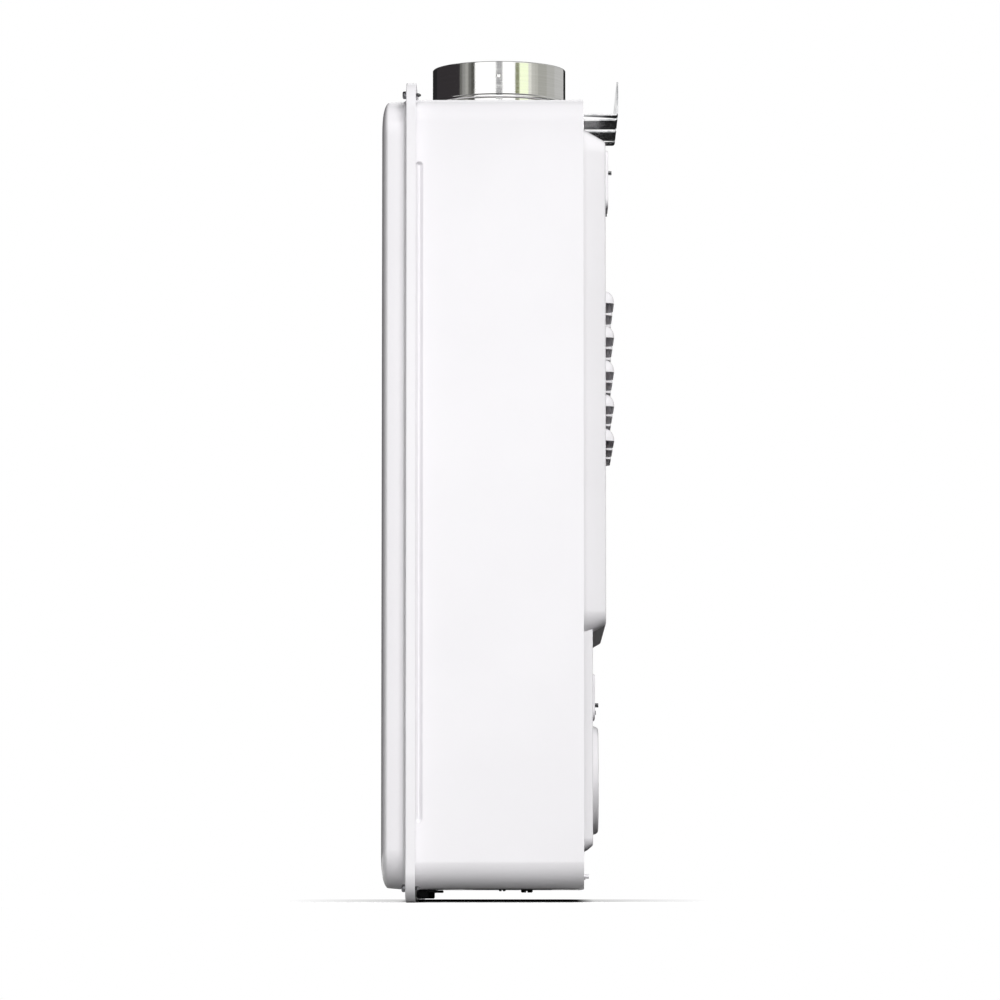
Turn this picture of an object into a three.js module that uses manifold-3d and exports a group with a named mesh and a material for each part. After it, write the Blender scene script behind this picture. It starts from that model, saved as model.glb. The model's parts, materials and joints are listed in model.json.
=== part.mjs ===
// Tankless water heater: a wall-hung casing with a dished front cover and a flue collar on top.
// Millimetres. X runs across the width, Y from the front (negative) to the wall (0),
// Z up from the cover's foot.

import * as THREE from "three";
import { mergeVertices } from "three/addons/utils/BufferGeometryUtils.js";
import Module from "manifold-3d";

const wasm = await Module();
wasm.setup();

// Shared clearances, and counts of sides and steps
const fit = 0.3;
const runningGap = 1;
const overrun = 2;
const sheet = 1.2;
const roundSides = 10;
const smallSides = 8;
const pipeSides = 8;
const collarSides = 28;
const cornerSteps = 5;
const plateCornerSteps = 2;
const bendSteps = 3;

// Casing
const casingWidth = 448;
const casingHeight = 724;
const casingDepth = 153;
const casingRadius = 25;
const wallGap = 34;
const beadWidth = 5.8;
const beadSink = 1;
const beadLength = 605;
const beadInset = 1.2;
const beadEndRadius = 2.7;

// Front cover: skirt, flange and dish
const skirtDepth = 9;
const skirtOverhang = 12;
const skirtTopOverhang = 14;
const skirtRadius = 26;
const skirtEdge = 1;
const dishRadius = 36;
const dishWall = 16.1;
const dishDraft = 1;
const dishRollWidth = 22;
const dishRollDepth = 6.5;
const dishRollSteps = 4;
const dishCrown = 0.9;
const dishCrownInset = 60;
const gasketThickness = 3;
const gasketInset = 2;
const screwInset = 13;
const screwHeadRadius = 3.6;
const screwHeadHeight = 3.1;
const screwHeadRound = 1.2;
const screwRadius = 2;
const screwLength = 13.8;
const screwPoint = 1.5;

// Rubber rests under the casing
const restSpacing = 300;
const restWidth = 40;
const restDepth = 10.5;
const restHeight = 8;
const restTongueDepth = 8.5;
const restTongueHeight = 2.4;

// Rear panel with its pressed boxes
const rimDepth = 8;
const upperBoxWidth = 400;
const upperBoxBottom = 242;
const upperBoxTop = 712.5;
const upperBoxDepth = 20.7;
const upperBoxRadius = 25;
const lowerBoxWidth = 380;
const lowerBoxBottom = 47;
const lowerBoxTop = 300;
const lowerBoxDepth = 8.5;
const lowerBoxRadius = 12;
const boxDraftShare = 0.58;
const leastCornerShare = 0.1;
const louvreRows = 5;
const louvreColumns = 3;
const louvrePitch = 32;
const louvreTop = 566;
const louvreWidth = 86;
const louvreGap = 17;
const louvreHeight = 11;
const louvreDepth = 8.5;
const louvreRound = 7;
const louvreSteps = 3;
const louvreSheet = 1;
const bossWidth = 60;
const bossRadius = 8;
const bossRise = 2.6;
const upperBossHeight = 54;
const upperBossCentre = 666;
const lowerBossHeight = 43;
const lowerBossCentre = 190;
const discRadius = 52;
const discRise = 7;
const discCentre = 115.4;
const discSides = 24;
const footStudSpacing = 300;
const footStudHeight = 24;
const footStudLength = 5;

// Wall bracket
const bracketSheet = 1.5;
const bracketHeight = 31.5;
const wideTab = 60;
const wideTabTaper = 3;
const narrowTab = 20.5;
const narrowTabEnd = 6;
const tabGap = 18;
const sideTabGap = 12;
const tabFootDrop = 16;
const tabScrewDrop = 8;
const wallHoleRadius = 3.5;
const wallHoleShares = [0.2, 0.8];
const tabScrewLength = 9;
const tabScrewHead = 1.6;

// Flue collar, its gasket, seal, rivet and the hood below
const collarRadius = 63.5;
const collarHeight = 58;
const collarDepth = 12;
const collarEdge = 0.6;
const collarFlange = 14;
const collarCentre = 112.4;
const collarBeadHeight = 25;
const collarBeadWidth = 4;
const collarBeadRise = 1.4;
const collarGasket = 2;
const collarHoleGap = 0.7;
const rivetHeight = 43.8;
const rivetHeadRadius = 2.3;
const rivetHeadHeight = 1;
const rivetShankRadius = 1.4;
const rivetBackRadius = 2;
const neckRadius = 57;
const neckLap = 8;
const sealHeight = 6;
const hoodHeight = 75;
const hoodTaper = 12;
const hoodRadius = 12;
const neckHeight = 17;
const neckShelf = 3;

// Heat exchanger chamber
const chamberWidth = 250;
const chamberDepth = 112;
const jacketHeight = 219;
const chamberFlange = 8;
const burnerBoxHeight = 80;
const chamberRadius = 4;
const tubeCount = 5;
const tubePitch = 21;
const tubeRadius = 8;
const tubeWall = 1;
const tubeHeight = 170;
const tubeStub = 15;
const tubeBend = 10.47;
const finCount = 8;
const finThickness = 1.5;
const finHeight = 70;
const finGap = 3;
const finSpread = 210;

// Burner
const burnerCount = 9;
const burnerPitch = 25;
const burnerThickness = 9;
const burnerSlot = 3;
const burnerHeight = 32;
const burnerEndGap = 5.8;
const burnerSeat = 38;
const railHeight = 5;
const railWidth = 6;
const railSpacing = 70;
const manifoldLength = 236;
const manifoldSize = 12;
const manifoldHeight = 32;
const manifoldStandOff = 3.6;
const nozzleRadius = 2.6;
const nozzleReach = 6;
const manifoldBore = 4;
const earWidth = 8;

// Spark electrode, ignition unit, lead and overheat switch
const electrodeOffset = 60;
const electrodeHeight = 12;
const electrodeRadius = 4;
const electrodeLength = 20;
const electrodeFlangeRadius = 8;
const electrodeFlangeHeight = 3;
const electrodeRod = 1.4;
const electrodeRodLength = 26;
const ignitionWidth = 34;
const ignitionDepth = 55;
const ignitionHeight = 70;
const ignitionBase = 400;
const ignitionSetBack = 37;
const leadRadius = 2.5;
const leadBend = 10;
const leadReach = 15;
const leadInset = 17;
const switchRadius = 9;
const switchHeight = 8;
const switchBase = 2.7;
const switchLevel = 100;

// Fan
const fanAcross = -45;
const fanHeight = 235;
const fanInnerRadius = 52;
const fanOuterRadius = 74;
const fanTongueAngle = 80;
const fanTongueReach = 12;
const fanWidth = 46;
const fanFront = 121;
const fanInletRadius = 30;
const fanFlange = 8;
const fanSteps = 20;
const impellerRadius = 46;
const impellerRing = 8;
const impellerBlade = 15;
const impellerWidth = 34;
const impellerSheet = 1.5;
const bladeCount = 12;
const hubRadius = 8;
const hubLength = 18;
const shaftRadius = 3;
const motorRadius = 30;
const motorLength = 44;
const motorFlangeRadius = 38;
const motorFlangeHeight = 4;
const motorBackWall = 3;
const fanBracketMargin = 17;
const fanBracketArm = 60;
const fanBracketHeight = 34;
const fanBracketBase = 171;
const studRadius = 2;
const studTip = 3.5;
const upperStudHeight = 675;
const upperStudSpacing = 300;
const lowerStudHeight = 183;
const lowerStudSpacing = 196;

// Chamber rail
const railPlateMargin = 15;
const railPlateRise = 20;

// Recessed connection pan and its fittings
const panWidth = 356;
const panDepth = 76;
const panHeight = 44;
const panRim = 12;
const panCentre = 100;
const fittingSpacing = 300;
const gasAcross = 40;
const fittingRadius = 13.3;
const fittingBore = 9;
const fittingFoot = 2;
const fittingFlangeRadius = 18;
const fittingFlangeHeight = 5;
const fittingSpigot = 11;
const fittingSpigotHeight = 12;
const plugOffset = 38;
const filterCentre = 86;
const drainCentre = 110;
const filterTip = 5.4;
const filterTipDrop = 2.8;
const drainTip = 3.4;
const drainTipDrop = 1.2;
const plugTipHeight = 11;
const plugGrip = 8.5;
const plugCollar = 11;
const plugCollarHeight = 6.5;
const plugSpigot = 7.7;
const plugSpigotHeight = 20;
const glandAcross = -60;
const glandRadius = 6;
const glandBore = 3.5;
const glandNut = 9;
const glandNutHeight = 7;
const glandDome = 18;

// Water side
const bodyRadius = 17;
const bodyHeight = 40;
const pocketRadius = 12;
const pocketTopWall = 5;
const bodyBridge = 16;
const bodyBridgeLift = 8;
const bodyPassage = 5;
const filterRadius = 7;
const filterWall = 1;
const filterLength = 18;
const sensorRadius = 15;
const sensorHeight = 35;
const sensorBore = 9.5;
const spiderInset = 4;
const spiderHeight = 2;
const spiderWidth = 4;
const spiderHub = 3;
const axleRadius = 1;
const rotorRadius = 8.8;
const rotorBlade = 1.2;
const pickupWidth = 14;
const pickupDepth = 8;
const pickupHeight = 15;
const valveWidth = 34;
const valveHeight = 45;
const valveBore = 9;
const spindleLift = 26;
const spindleRadius = 8;
const spindlePort = 5;
const spindleWall = 5;
const stemRadius = 3;
const stemLength = 19;
const servoWidth = 30;
const servoDepth = 34;
const bypassRadius = 5;
const bypassLift = 9.7;
const bypassReach = 20;
const bypassLevel = 100;
const bypassBend = 12;
const bypassPortRadius = 9;
const bypassPortReach = 5;
const pipeRadius = 8;
const pipeWall = 1;
const pipeBend = 20;
const pipeOffset = 17;
const coldRise = 55;
const coldShift = 45;
const hotDrop = 110;
const hotShift = 45;

// Gas side
const gasValveWidth = 56;
const gasValveDepth = 66;
const gasValveHeight = 75;
const gasValveFront = 148;
const coilRadius = 13;
const coilLength = 30;
const coilWall = 3;
const coilSpacing = 28;
const coilLevel = 40;
const plungerRadius = 5.6;
const plungerBore = 6;
const plungerLength = 34;
const plungerTravel = 2.5;
const chamberBore = 9;
const gasPipeRadius = 6.5;
const gasOutletInset = 12;
const gasOutletSetBack = 10;
const gasOutletDepth = 30;
const gasPipeRise = 50;
const gasPipeShift = 40;

// Electronics
const caseDepth = 100;
const caseHeight = 180;
const caseThickness = 26;
const caseBase = 300;
const caseSetBack = 41;
const postRadius = 4;
const postHeight = 16;
const postInset = 12;
const boardThickness = 1.6;
const transformerWidth = 36;
const transformerDepth = 50;
const transformerHeight = 54;
const transformerBase = 212;
const transformerBulge = 7;
const transformerWinding = 30;

// Places worked out from the sizes
const casingBottom = skirtOverhang;
const casingTop = casingBottom + casingHeight;
const casingMiddle = (casingBottom + casingTop) / 2;
const casingBack = -wallGap;
const casingFront = casingBack - casingDepth;
const coverFace = casingFront - skirtDepth;
const skirtWidth = casingWidth + 2 * skirtOverhang;
const skirtHeight = casingTop + skirtTopOverhang;
const skirtMiddle = skirtHeight / 2;
const casingFlangeFront = coverFace + sheet + 2 * fit + gasketThickness;
const casingFlangeBack = casingFlangeFront + sheet;
const casingFloor = casingBottom + sheet;
const sideWall = casingWidth / 2 - sheet;
const collarFlangeFoot = casingTop + collarGasket + 2 * fit;
const collarTop = casingTop + collarHeight;
const collarFoot = casingTop - collarDepth;
const hoodTop = casingTop - sheet - neckHeight - fit;
const hoodFoot = hoodTop - hoodHeight;
const jacketTop = hoodFoot - fit;
const jacketFoot = jacketTop - jacketHeight;
const burnerBoxTop = jacketFoot - fit;
const burnerBoxFoot = burnerBoxTop - burnerBoxHeight;
const chamberMiddle = -collarCentre;
const chamberFront = chamberMiddle - chamberDepth / 2;
const chamberBack = chamberMiddle + chamberDepth / 2;
const burnerLength = chamberDepth - 2 * (sheet + burnerEndGap);
const tubeLevel = jacketFoot + tubeHeight;
const tubeRun = chamberWidth / 2 + tubeRadius / 2;
const tubeEnd = chamberWidth / 2 + tubeStub;
const panMiddle = -panCentre;
const panFloor = casingFloor + fit;
const panPlate = panFloor + panHeight;
const panTop = panPlate + sheet;
const fittingTop = panTop + fit + fittingFlangeHeight + fittingSpigotHeight;
const bodyFoot = fittingTop + fit;
const bodyTop = bodyFoot + bodyHeight;
const sensorFoot = bodyTop + fit;
const sensorTop = sensorFoot + sensorHeight;
const valveFoot = sensorTop + fit;
const valveTop = valveFoot + valveHeight;
const spindleLevel = valveFoot + spindleLift;
const valveFront = panMiddle - valveWidth / 2;
const railPlateWidth = upperStudSpacing + 2 * railPlateMargin;
const fanBracketWidth = lowerStudSpacing + 2 * fanBracketMargin;
const fittingAcross = fittingSpacing / 2;
const plugAcross = fittingAcross - plugOffset;
const upperInner = casingBack + upperBoxDepth - sheet;
const lowerInner = casingBack + lowerBoxDepth - sheet;
const mountHeight = casingTop + fit + bracketHeight / 2;

// Solids from three.js geometries

const across = new THREE.Vector3(1, 0, 0);
const deep = new THREE.Vector3(0, 1, 0);
const up = new THREE.Vector3(0, 0, 1);
const axisFrames = { x: [deep, up, across], y: [across, up, deep], z: [across, deep, up] };

function signedVolume(points, corners) {
  const at = (corner) => new THREE.Vector3().fromArray(points, 3 * corner);
  let sum = 0;
  for (let i = 0; i < corners.length; i += 3) {
    const normal = at(corners[i + 1]).cross(at(corners[i + 2]));
    sum += at(corners[i]).dot(normal);
  }
  return sum / 6;
}

function solidOf(geometry) {
  geometry.deleteAttribute("normal");
  geometry.deleteAttribute("uv");
  const merged = mergeVertices(geometry);
  const points = merged.attributes.position.array;
  const corners = [];
  for (let i = 0; i < merged.index.count; i += 3) {
    const [a, b, c] = merged.index.array.slice(i, i + 3);
    if (a !== b && b !== c && a !== c) corners.push(a, b, c);
  }
  if (signedVolume(points, corners) < 0) corners.reverse();
  const mesh = { numProp: 3, vertProperties: points, triVerts: new Uint32Array(corners) };
  return new wasm.Manifold(new wasm.Mesh(mesh));
}

function geometryOf(solid) {
  const mesh = solid.getMesh();
  const geometry = new THREE.BufferGeometry();
  geometry.setAttribute("position", new THREE.BufferAttribute(mesh.vertProperties, 3));
  geometry.setIndex(new THREE.BufferAttribute(mesh.triVerts, 1));
  return geometry;
}

function join(...solids) {
  return solids.reduce((sum, solid) => sum.add(solid));
}

function cut(base, ...tools) {
  return tools.reduce((rest, tool) => rest.subtract(tool), base);
}

// Outlines, as lists of points in a plane

function span(middle, size) {
  return [middle - size / 2, middle + size / 2];
}

function rectangle([a0, a1], [b0, b1]) {
  return [[a0, b0], [a1, b0], [a1, b1], [a0, b1]];
}

function roundedRectangle(width, height, radius, [middleA, middleB], steps = cornerSteps) {
  const points = [];
  const quarters = [[1, 1], [-1, 1], [-1, -1], [1, -1]];
  quarters.forEach(([sideA, sideB], quarter) => {
    for (let step = 0; step <= steps; step += 1) {
      const angle = ((quarter + step / steps) * Math.PI) / 2;
      const a = middleA + sideA * (width / 2 - radius) + radius * Math.cos(angle);
      const b = middleB + sideB * (height / 2 - radius) + radius * Math.sin(angle);
      points.push([a, b]);
    }
  });
  return points;
}

function insetRectangle(width, height, radius, middle, inset, steps = cornerSteps) {
  const corner = Math.max(radius - inset, radius * leastCornerShare);
  return roundedRectangle(width - 2 * inset, height - 2 * inset, corner, middle, steps);
}

function circle(radius, [middleA, middleB], sides) {
  return Array.from({ length: sides }, (_, side) => {
    const angle = (2 * Math.PI * side) / sides;
    return [middleA + radius * Math.sin(angle), middleB + radius * Math.cos(angle)];
  });
}

// Basic solids: an outline drawn along an axis, a loft through outlines, a turned profile, a bent pipe

function prism(axis, outline, from, to) {
  const shape = new THREE.Shape(outline.map(([a, b]) => new THREE.Vector2(a, b)));
  const geometry = new THREE.ExtrudeGeometry(shape, { depth: to - from, bevelEnabled: false });
  geometry.translate(0, 0, from);
  geometry.applyMatrix4(new THREE.Matrix4().makeBasis(...axisFrames[axis]));
  return solidOf(geometry);
}

function box(xSpan, ySpan, zSpan) {
  return prism("z", rectangle(xSpan, ySpan), ...zSpan);
}

function loft(axis, sections) {
  const [aAxis, bAxis, cAxis] = axisFrames[axis];
  const count = sections[0].outline.length;
  const points = [];
  sections.forEach(({ at, outline }) => {
    outline.forEach(([a, b]) => {
      const point = cAxis.clone().multiplyScalar(at);
      points.push(point.addScaledVector(aAxis, a).addScaledVector(bAxis, b));
    });
  });
  const corners = [];
  for (let base = 0; base < points.length - count; base += count) {
    for (let i = 0; i < count; i += 1) {
      const next = (i + 1) % count;
      corners.push(base + i, base + next, base + count + next);
      corners.push(base + i, base + count + next, base + count + i);
    }
  }
  const last = points.length - count;
  for (let i = 1; i < count - 1; i += 1) {
    corners.push(0, i + 1, i);
    corners.push(last, last + i, last + i + 1);
  }
  const geometry = new THREE.BufferGeometry().setFromPoints(points);
  geometry.setIndex(corners);
  return solidOf(geometry);
}

function turned(axis, profile, [middleA, middleB], sides = roundSides) {
  const [aAxis, bAxis, cAxis] = axisFrames[axis];
  const points = profile.map(([radius, level]) => new THREE.Vector2(radius, level));
  const geometry = new THREE.LatheGeometry(points, sides);
  geometry.applyMatrix4(new THREE.Matrix4().makeBasis(aAxis, cAxis, bAxis));
  const place = aAxis.clone().multiplyScalar(middleA).addScaledVector(bAxis, middleB);
  geometry.translate(place.x, place.y, place.z);
  return solidOf(geometry);
}

function rod(axis, radius, from, to, middle, sides = roundSides) {
  return turned(axis, [[0, from], [radius, from], [radius, to], [0, to]], middle, sides);
}

function sleeve(axis, radius, bore, from, to, middle, sides = roundSides) {
  const profile = [[bore, from], [radius, from], [radius, to], [bore, to], [bore, from]];
  return turned(axis, profile, middle, sides);
}

class BentPath extends THREE.Curve {
  constructor(corners, bend) {
    super();
    this.stations = [];
    corners.forEach((corner, i) => {
      const before = corner.clone().sub(corners[i - 1] ?? corner).normalize();
      const after = (corners[i + 1] ?? corner).clone().sub(corner).normalize();
      if (i === 0) this.stations.push({ point: corner, heading: after });
      else if (i === corners.length - 1) this.stations.push({ point: corner, heading: before });
      else this.addBend(corner, before, after, bend);
    });
  }

  addBend(corner, before, after, bend) {
    const turn = before.angleTo(after);
    const start = corner.clone().addScaledVector(before, -bend * Math.tan(turn / 2));
    const inward = after.clone().addScaledVector(before, -after.dot(before)).normalize();
    for (let step = 0; step <= bendSteps; step += 1) {
      const angle = (turn * step) / bendSteps;
      const point = start.clone().addScaledVector(before, bend * Math.sin(angle));
      point.addScaledVector(inward, bend * (1 - Math.cos(angle)));
      const heading = before.clone().multiplyScalar(Math.cos(angle));
      heading.addScaledVector(inward, Math.sin(angle));
      this.stations.push({ point, heading });
    }
  }

  getPointAt(share) {
    return this.stations[Math.round(share * (this.stations.length - 1))].point.clone();
  }

  getTangentAt(share, target = new THREE.Vector3()) {
    return target.copy(this.stations[Math.round(share * (this.stations.length - 1))].heading);
  }
}

function pipe(corners, radius, bend, bore = 0, sides = pipeSides) {
  const path = new BentPath(corners.map((corner) => new THREE.Vector3(...corner)), bend);
  const flat = (outline) => outline.map(([a, b]) => new THREE.Vector2(a, b));
  const shape = new THREE.Shape(flat(circle(radius, [0, 0], sides)));
  if (bore > 0) shape.holes.push(new THREE.Path(flat(circle(bore, [0, 0], sides)).reverse()));
  const steps = path.stations.length - 1;
  return solidOf(new THREE.ExtrudeGeometry(shape, { steps, extrudePath: path }));
}

// Casing, cover and what joins them

const casingCentre = [0, casingMiddle];
const skirtCentre = [0, skirtMiddle];
const screwAcross = skirtWidth / 2 - screwInset;
const coverScrewPlaces = [
  [-screwAcross, screwInset],
  [screwAcross, screwInset],
  [-screwAcross, skirtHeight - screwInset],
  [screwAcross, skirtHeight - screwInset],
];
const tabMiddle = tabGap / 2 + wideTab / 2;
const tabScrewLevel = casingTop - tabScrewDrop;
const tabScrewPlaces = [-tabMiddle, tabMiddle].map((x) => [x, tabScrewLevel]);
const restAcross = restSpacing / 2;

function slab(width, height, radius, centre, inset, from, to) {
  return prism("y", insetRectangle(width, height, radius, centre, inset), from, to);
}

function coverScrewHoles() {
  const [from, to] = [coverFace - overrun, casingFlangeBack + overrun];
  return coverScrewPlaces.map((place) => rod("y", screwRadius + 2 * fit, from, to, place, smallSides));
}

function casingShell() {
  const body = slab(casingWidth, casingHeight, casingRadius, casingCentre, 0, casingFlangeFront, casingBack);
  const [cutFrom, cutTo] = [casingFlangeFront - overrun, casingBack + overrun];
  const inside = slab(casingWidth, casingHeight, casingRadius, casingCentre, sheet, cutFrom, cutTo);
  const inset = sheet + 2 * fit;
  const flange = slab(skirtWidth, skirtHeight, skirtRadius, skirtCentre, inset,
    casingFlangeFront, casingFlangeBack);
  const flueHole = rod("z", collarRadius + collarHoleGap, casingTop - overrun, casingTop + overrun,
    [0, chamberMiddle], collarSides);
  const opening = box(span(0, panWidth), span(panMiddle, panDepth),
    [casingBottom - overrun, casingFloor + overrun]);
  const wall = casingWidth / 2;
  const ridges = sideBeads(sheet, wall - sheet - beadSink, wall - sheet / 2);
  const grooves = sideBeads(0, wall - beadSink, wall + overrun);
  const shell = join(cut(join(body, flange), inside), ...ridges);
  return cut(shell, ...grooves, flueHole, opening, ...coverScrewHoles());
}

// A bead pressed inwards along each side: a groove outside, and its ridge inside.
function sideBeads(border, inner, outer) {
  const middle = [casingFront + beadInset + beadWidth / 2, casingMiddle];
  const [across, along] = [beadWidth, beadLength].map((size) => size + 2 * border);
  const outline = roundedRectangle(across, along, beadEndRadius + border, middle);
  return [prism("x", outline, inner, outer), prism("x", outline, -outer, -inner)];
}

function dishSections(inset, from) {
  const section = (at, extra) => ({
    at: at + inset,
    outline: insetRectangle(casingWidth, casingHeight, dishRadius, casingCentre, inset + extra),
  });
  const rollStart = coverFace - dishWall;
  const sections = [section(from - inset, 0), section(coverFace - inset, 0), section(rollStart, dishDraft)];
  for (let step = 1; step <= dishRollSteps; step += 1) {
    const angle = (Math.PI * step) / dishRollSteps / 2;
    const drawnIn = dishDraft + dishRollWidth * (1 - Math.cos(angle));
    sections.push(section(rollStart - dishRollDepth * Math.sin(angle), drawnIn));
  }
  sections.push(section(rollStart - dishRollDepth - dishCrown, dishDraft + dishRollWidth + dishCrownInset));
  return sections;
}

function frontCover() {
  const edgeBack = coverFace + skirtEdge;
  const skirtOutline = (inset) => insetRectangle(skirtWidth, skirtHeight, skirtRadius, skirtCentre, inset);
  const skirt = loft("y", [
    { at: casingFront, outline: skirtOutline(0) },
    { at: edgeBack, outline: skirtOutline(0) },
    { at: coverFace, outline: skirtOutline(skirtEdge) },
  ]);
  const inside = prism("y", skirtOutline(sheet), coverFace + sheet, casingFront + overrun);
  const dish = loft("y", dishSections(0, coverFace + sheet / 2));
  const hollow = loft("y", dishSections(sheet, coverFace + sheet + overrun));
  return cut(join(skirt, dish), inside, hollow, ...coverScrewHoles());
}

function coverGasket() {
  const back = casingFlangeFront - fit;
  const front = back - gasketThickness;
  const outer = slab(skirtWidth, skirtHeight, skirtRadius, skirtCentre, sheet + gasketInset, front, back);
  const inner = slab(casingWidth, casingHeight, casingRadius, casingCentre, -gasketInset,
    front - overrun, back + overrun);
  return cut(outer, inner, ...coverScrewHoles());
}

function screw(place, seat, length, headHeight, headSide) {
  const level = (distance) => seat + headSide * distance;
  const profile = [
    [0, level(headHeight)],
    [screwHeadRadius - screwHeadRound, level(headHeight)],
    [screwHeadRadius, level(headHeight - screwHeadRound)],
    [screwHeadRadius, level(0)],
    [screwRadius, level(0)],
    [screwRadius, level(screwPoint - length)],
    [screwRadius / 2, level(-length)],
    [0, level(-length)],
  ];
  return turned("y", profile, place);
}

function coverRest(side) {
  const top = casingBottom - fit;
  const back = casingFront + fit;
  const xSpan = span(side * restAcross, restWidth);
  const block = box(xSpan, [back, back + restDepth], [top - restHeight, top]);
  const tongueBack = back + restDepth + restTongueDepth;
  return join(block, box(xSpan, [back, tongueBack], [top - restTongueHeight, top]));
}

// Rear panel

const boxes = [
  {
    width: upperBoxWidth,
    foot: upperBoxBottom,
    top: upperBoxTop,
    depth: upperBoxDepth,
    radius: upperBoxRadius,
  },
  {
    width: lowerBoxWidth,
    foot: lowerBoxBottom,
    top: lowerBoxTop,
    depth: lowerBoxDepth,
    radius: lowerBoxRadius,
  },
];
const upperFace = casingBack + upperBoxDepth;
const lowerFace = casingBack + lowerBoxDepth;
const upperBossPlaces = span(0, upperStudSpacing).map((x) => [x, upperBossCentre]);
const lowerBossPlaces = span(0, lowerStudSpacing).map((x) => [x, lowerBossCentre]);

function pressedBox({ width, foot, top, depth, radius }, inset, start) {
  const centre = [0, (foot + top) / 2];
  const outline = (extra) => insetRectangle(width, top - foot, radius, centre, inset + extra);
  const face = casingBack + depth - inset;
  return loft("y", [
    { at: start, outline: outline(0) },
    { at: casingBack - inset, outline: outline(0) },
    { at: face, outline: outline(depth * boxDraftShare) },
  ]);
}

function emboss(outline, face, rise) {
  const press = prism("y", outline(0), face - sheet / 2, face + rise);
  const hollow = prism("y", outline(sheet), face - sheet - overrun, face + rise - sheet);
  return [press, hollow];
}

function louvreOutline(height, depth, face, top, drop) {
  const points = [[face - louvreSheet / 2, top]];
  for (let step = 0; step <= louvreSteps; step += 1) {
    const angle = (Math.PI * step) / louvreSteps / 2;
    points.push([face + depth * Math.sin(angle), top - height * (1 - Math.cos(angle))]);
  }
  const foot = top - height - drop;
  points.push([face + depth, foot], [face - louvreSheet / 2, foot]);
  return points;
}

function louvre(x, top, grow) {
  const depth = louvreDepth - grow;
  const height = louvreHeight - grow;
  const drop = grow > 0 ? overrun : sheet / 2;
  const width = louvreWidth - 2 * grow;
  const section = (at, share) => ({
    at,
    outline: louvreOutline(height * share, depth * share, upperFace, top - grow - height * (1 - share), drop),
  });
  const half = width / 2;
  return loft("x", [
    section(x - half, 1 / 2),
    section(x - half + louvreRound, 1),
    section(x + half - louvreRound, 1),
    section(x + half, 1 / 2),
  ]);
}

function rearPanel() {
  const width = casingWidth - 2 * (sheet + fit);
  const height = casingHeight - 2 * (sheet + fit);
  const radius = casingRadius - sheet - fit;
  const tray = slab(width, height, radius, casingCentre, 0, casingBack - rimDepth, casingBack);
  const trayInside = slab(width, height, radius, casingCentre, sheet,
    casingBack - rimDepth - overrun, casingBack - sheet);
  const presses = boxes.map((pressed) => pressedBox(pressed, 0, casingBack - sheet / 2));
  const hollows = boxes.map((pressed) => pressedBox(pressed, sheet, casingBack - sheet - overrun));
  const boss = (height, place, face) => emboss((inset) =>
    insetRectangle(bossWidth, height, bossRadius, place, inset, plateCornerSteps), face, bossRise);
  const embosses = [
    ...upperBossPlaces.map((place) => boss(upperBossHeight, place, upperFace)),
    ...lowerBossPlaces.map((place) => boss(lowerBossHeight, place, lowerFace)),
    emboss((inset) => circle(discRadius - inset, [0, discCentre], discSides), lowerFace, discRise),
  ];
  const hoods = [];
  const mouths = [];
  for (let row = 0; row < louvreRows; row += 1) {
    for (let column = 0; column < louvreColumns; column += 1) {
      const x = (column - (louvreColumns - 1) / 2) * (louvreWidth + louvreGap);
      const top = louvreTop - row * louvrePitch;
      const mouthFoot = top - louvreHeight;
      hoods.push(louvre(x, top, 0));
      mouths.push(louvre(x, top, louvreSheet));
      mouths.push(box(span(x, louvreWidth - 2 * louvreRound),
        [upperFace - sheet - overrun, upperFace + sheet],
        [mouthFoot - sheet, top - louvreHeight / 2]));
    }
  }
  const studs = span(0, footStudSpacing).map((x) =>
    rod("y", screwRadius, casingBack - sheet / 2, casingBack + footStudLength,
      [x, footStudHeight], smallSides));
  const studHoles = [
    ...tabScrewPlaces,
    ...span(0, upperStudSpacing).map((x) => [x, upperStudHeight]),
    ...span(0, lowerStudSpacing).map((x) => [x, lowerStudHeight]),
  ].map((place) => rod("y", studRadius + 2 * fit, casingBack - overrun, 0, place, smallSides));
  const pressed = join(tray, ...presses, ...embosses.map(([press]) => press), ...hoods, ...studs);
  const embossHollows = embosses.map(([, hollow]) => hollow);
  return cut(pressed, trayInside, ...hollows, ...embossHollows, ...mouths, ...studHoles);
}

// Wall bracket

// A tab between two places at the upright, drawn in to two others at the casing.
function bracketTab(side, [inner, outer], [endInner, endOuter]) {
  const foot = casingTop + fit;
  const back = casingBack + fit;
  const wall = -bracketSheet / 2;
  const outline = [[inner, wall], [outer, wall], [endOuter, back], [endInner, back]];
  const shelf = prism("z", outline.map(([x, y]) => [side * x, y]), foot, foot + bracketSheet);
  const upstand = box(span(side * (endInner + endOuter) / 2, endOuter - endInner),
    [back, back + bracketSheet], [casingTop - tabFootDrop, foot + bracketSheet]);
  return join(shelf, upstand);
}

function wallBracket() {
  const foot = casingTop + fit;
  const wideInner = tabGap / 2;
  const wideOuter = wideInner + wideTab;
  const halfWidth = wideOuter + sideTabGap + narrowTab;
  const upright = box(span(0, 2 * halfWidth), [-bracketSheet, 0], [foot, foot + bracketHeight]);
  const tabs = [-1, 1].flatMap((side) =>
    [bracketTab(side, [wideInner, wideOuter], [wideInner, wideOuter - wideTabTaper]),
      bracketTab(side, [halfWidth - narrowTab, halfWidth], [halfWidth - narrowTabEnd, halfWidth])]);
  const wallHoles = [-1, 1].flatMap((side) => wallHoleShares.map((share) =>
    rod("y", wallHoleRadius, -bracketSheet - overrun, overrun, [side * share * halfWidth, mountHeight])));
  const screwHoles = tabScrewPlaces.map((place) =>
    rod("y", screwRadius + fit, casingBack - overrun, casingBack + bracketSheet + overrun,
      place, smallSides));
  return cut(join(upright, ...tabs), ...wallHoles, ...screwHoles);
}

// Flue collar and hood

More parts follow.
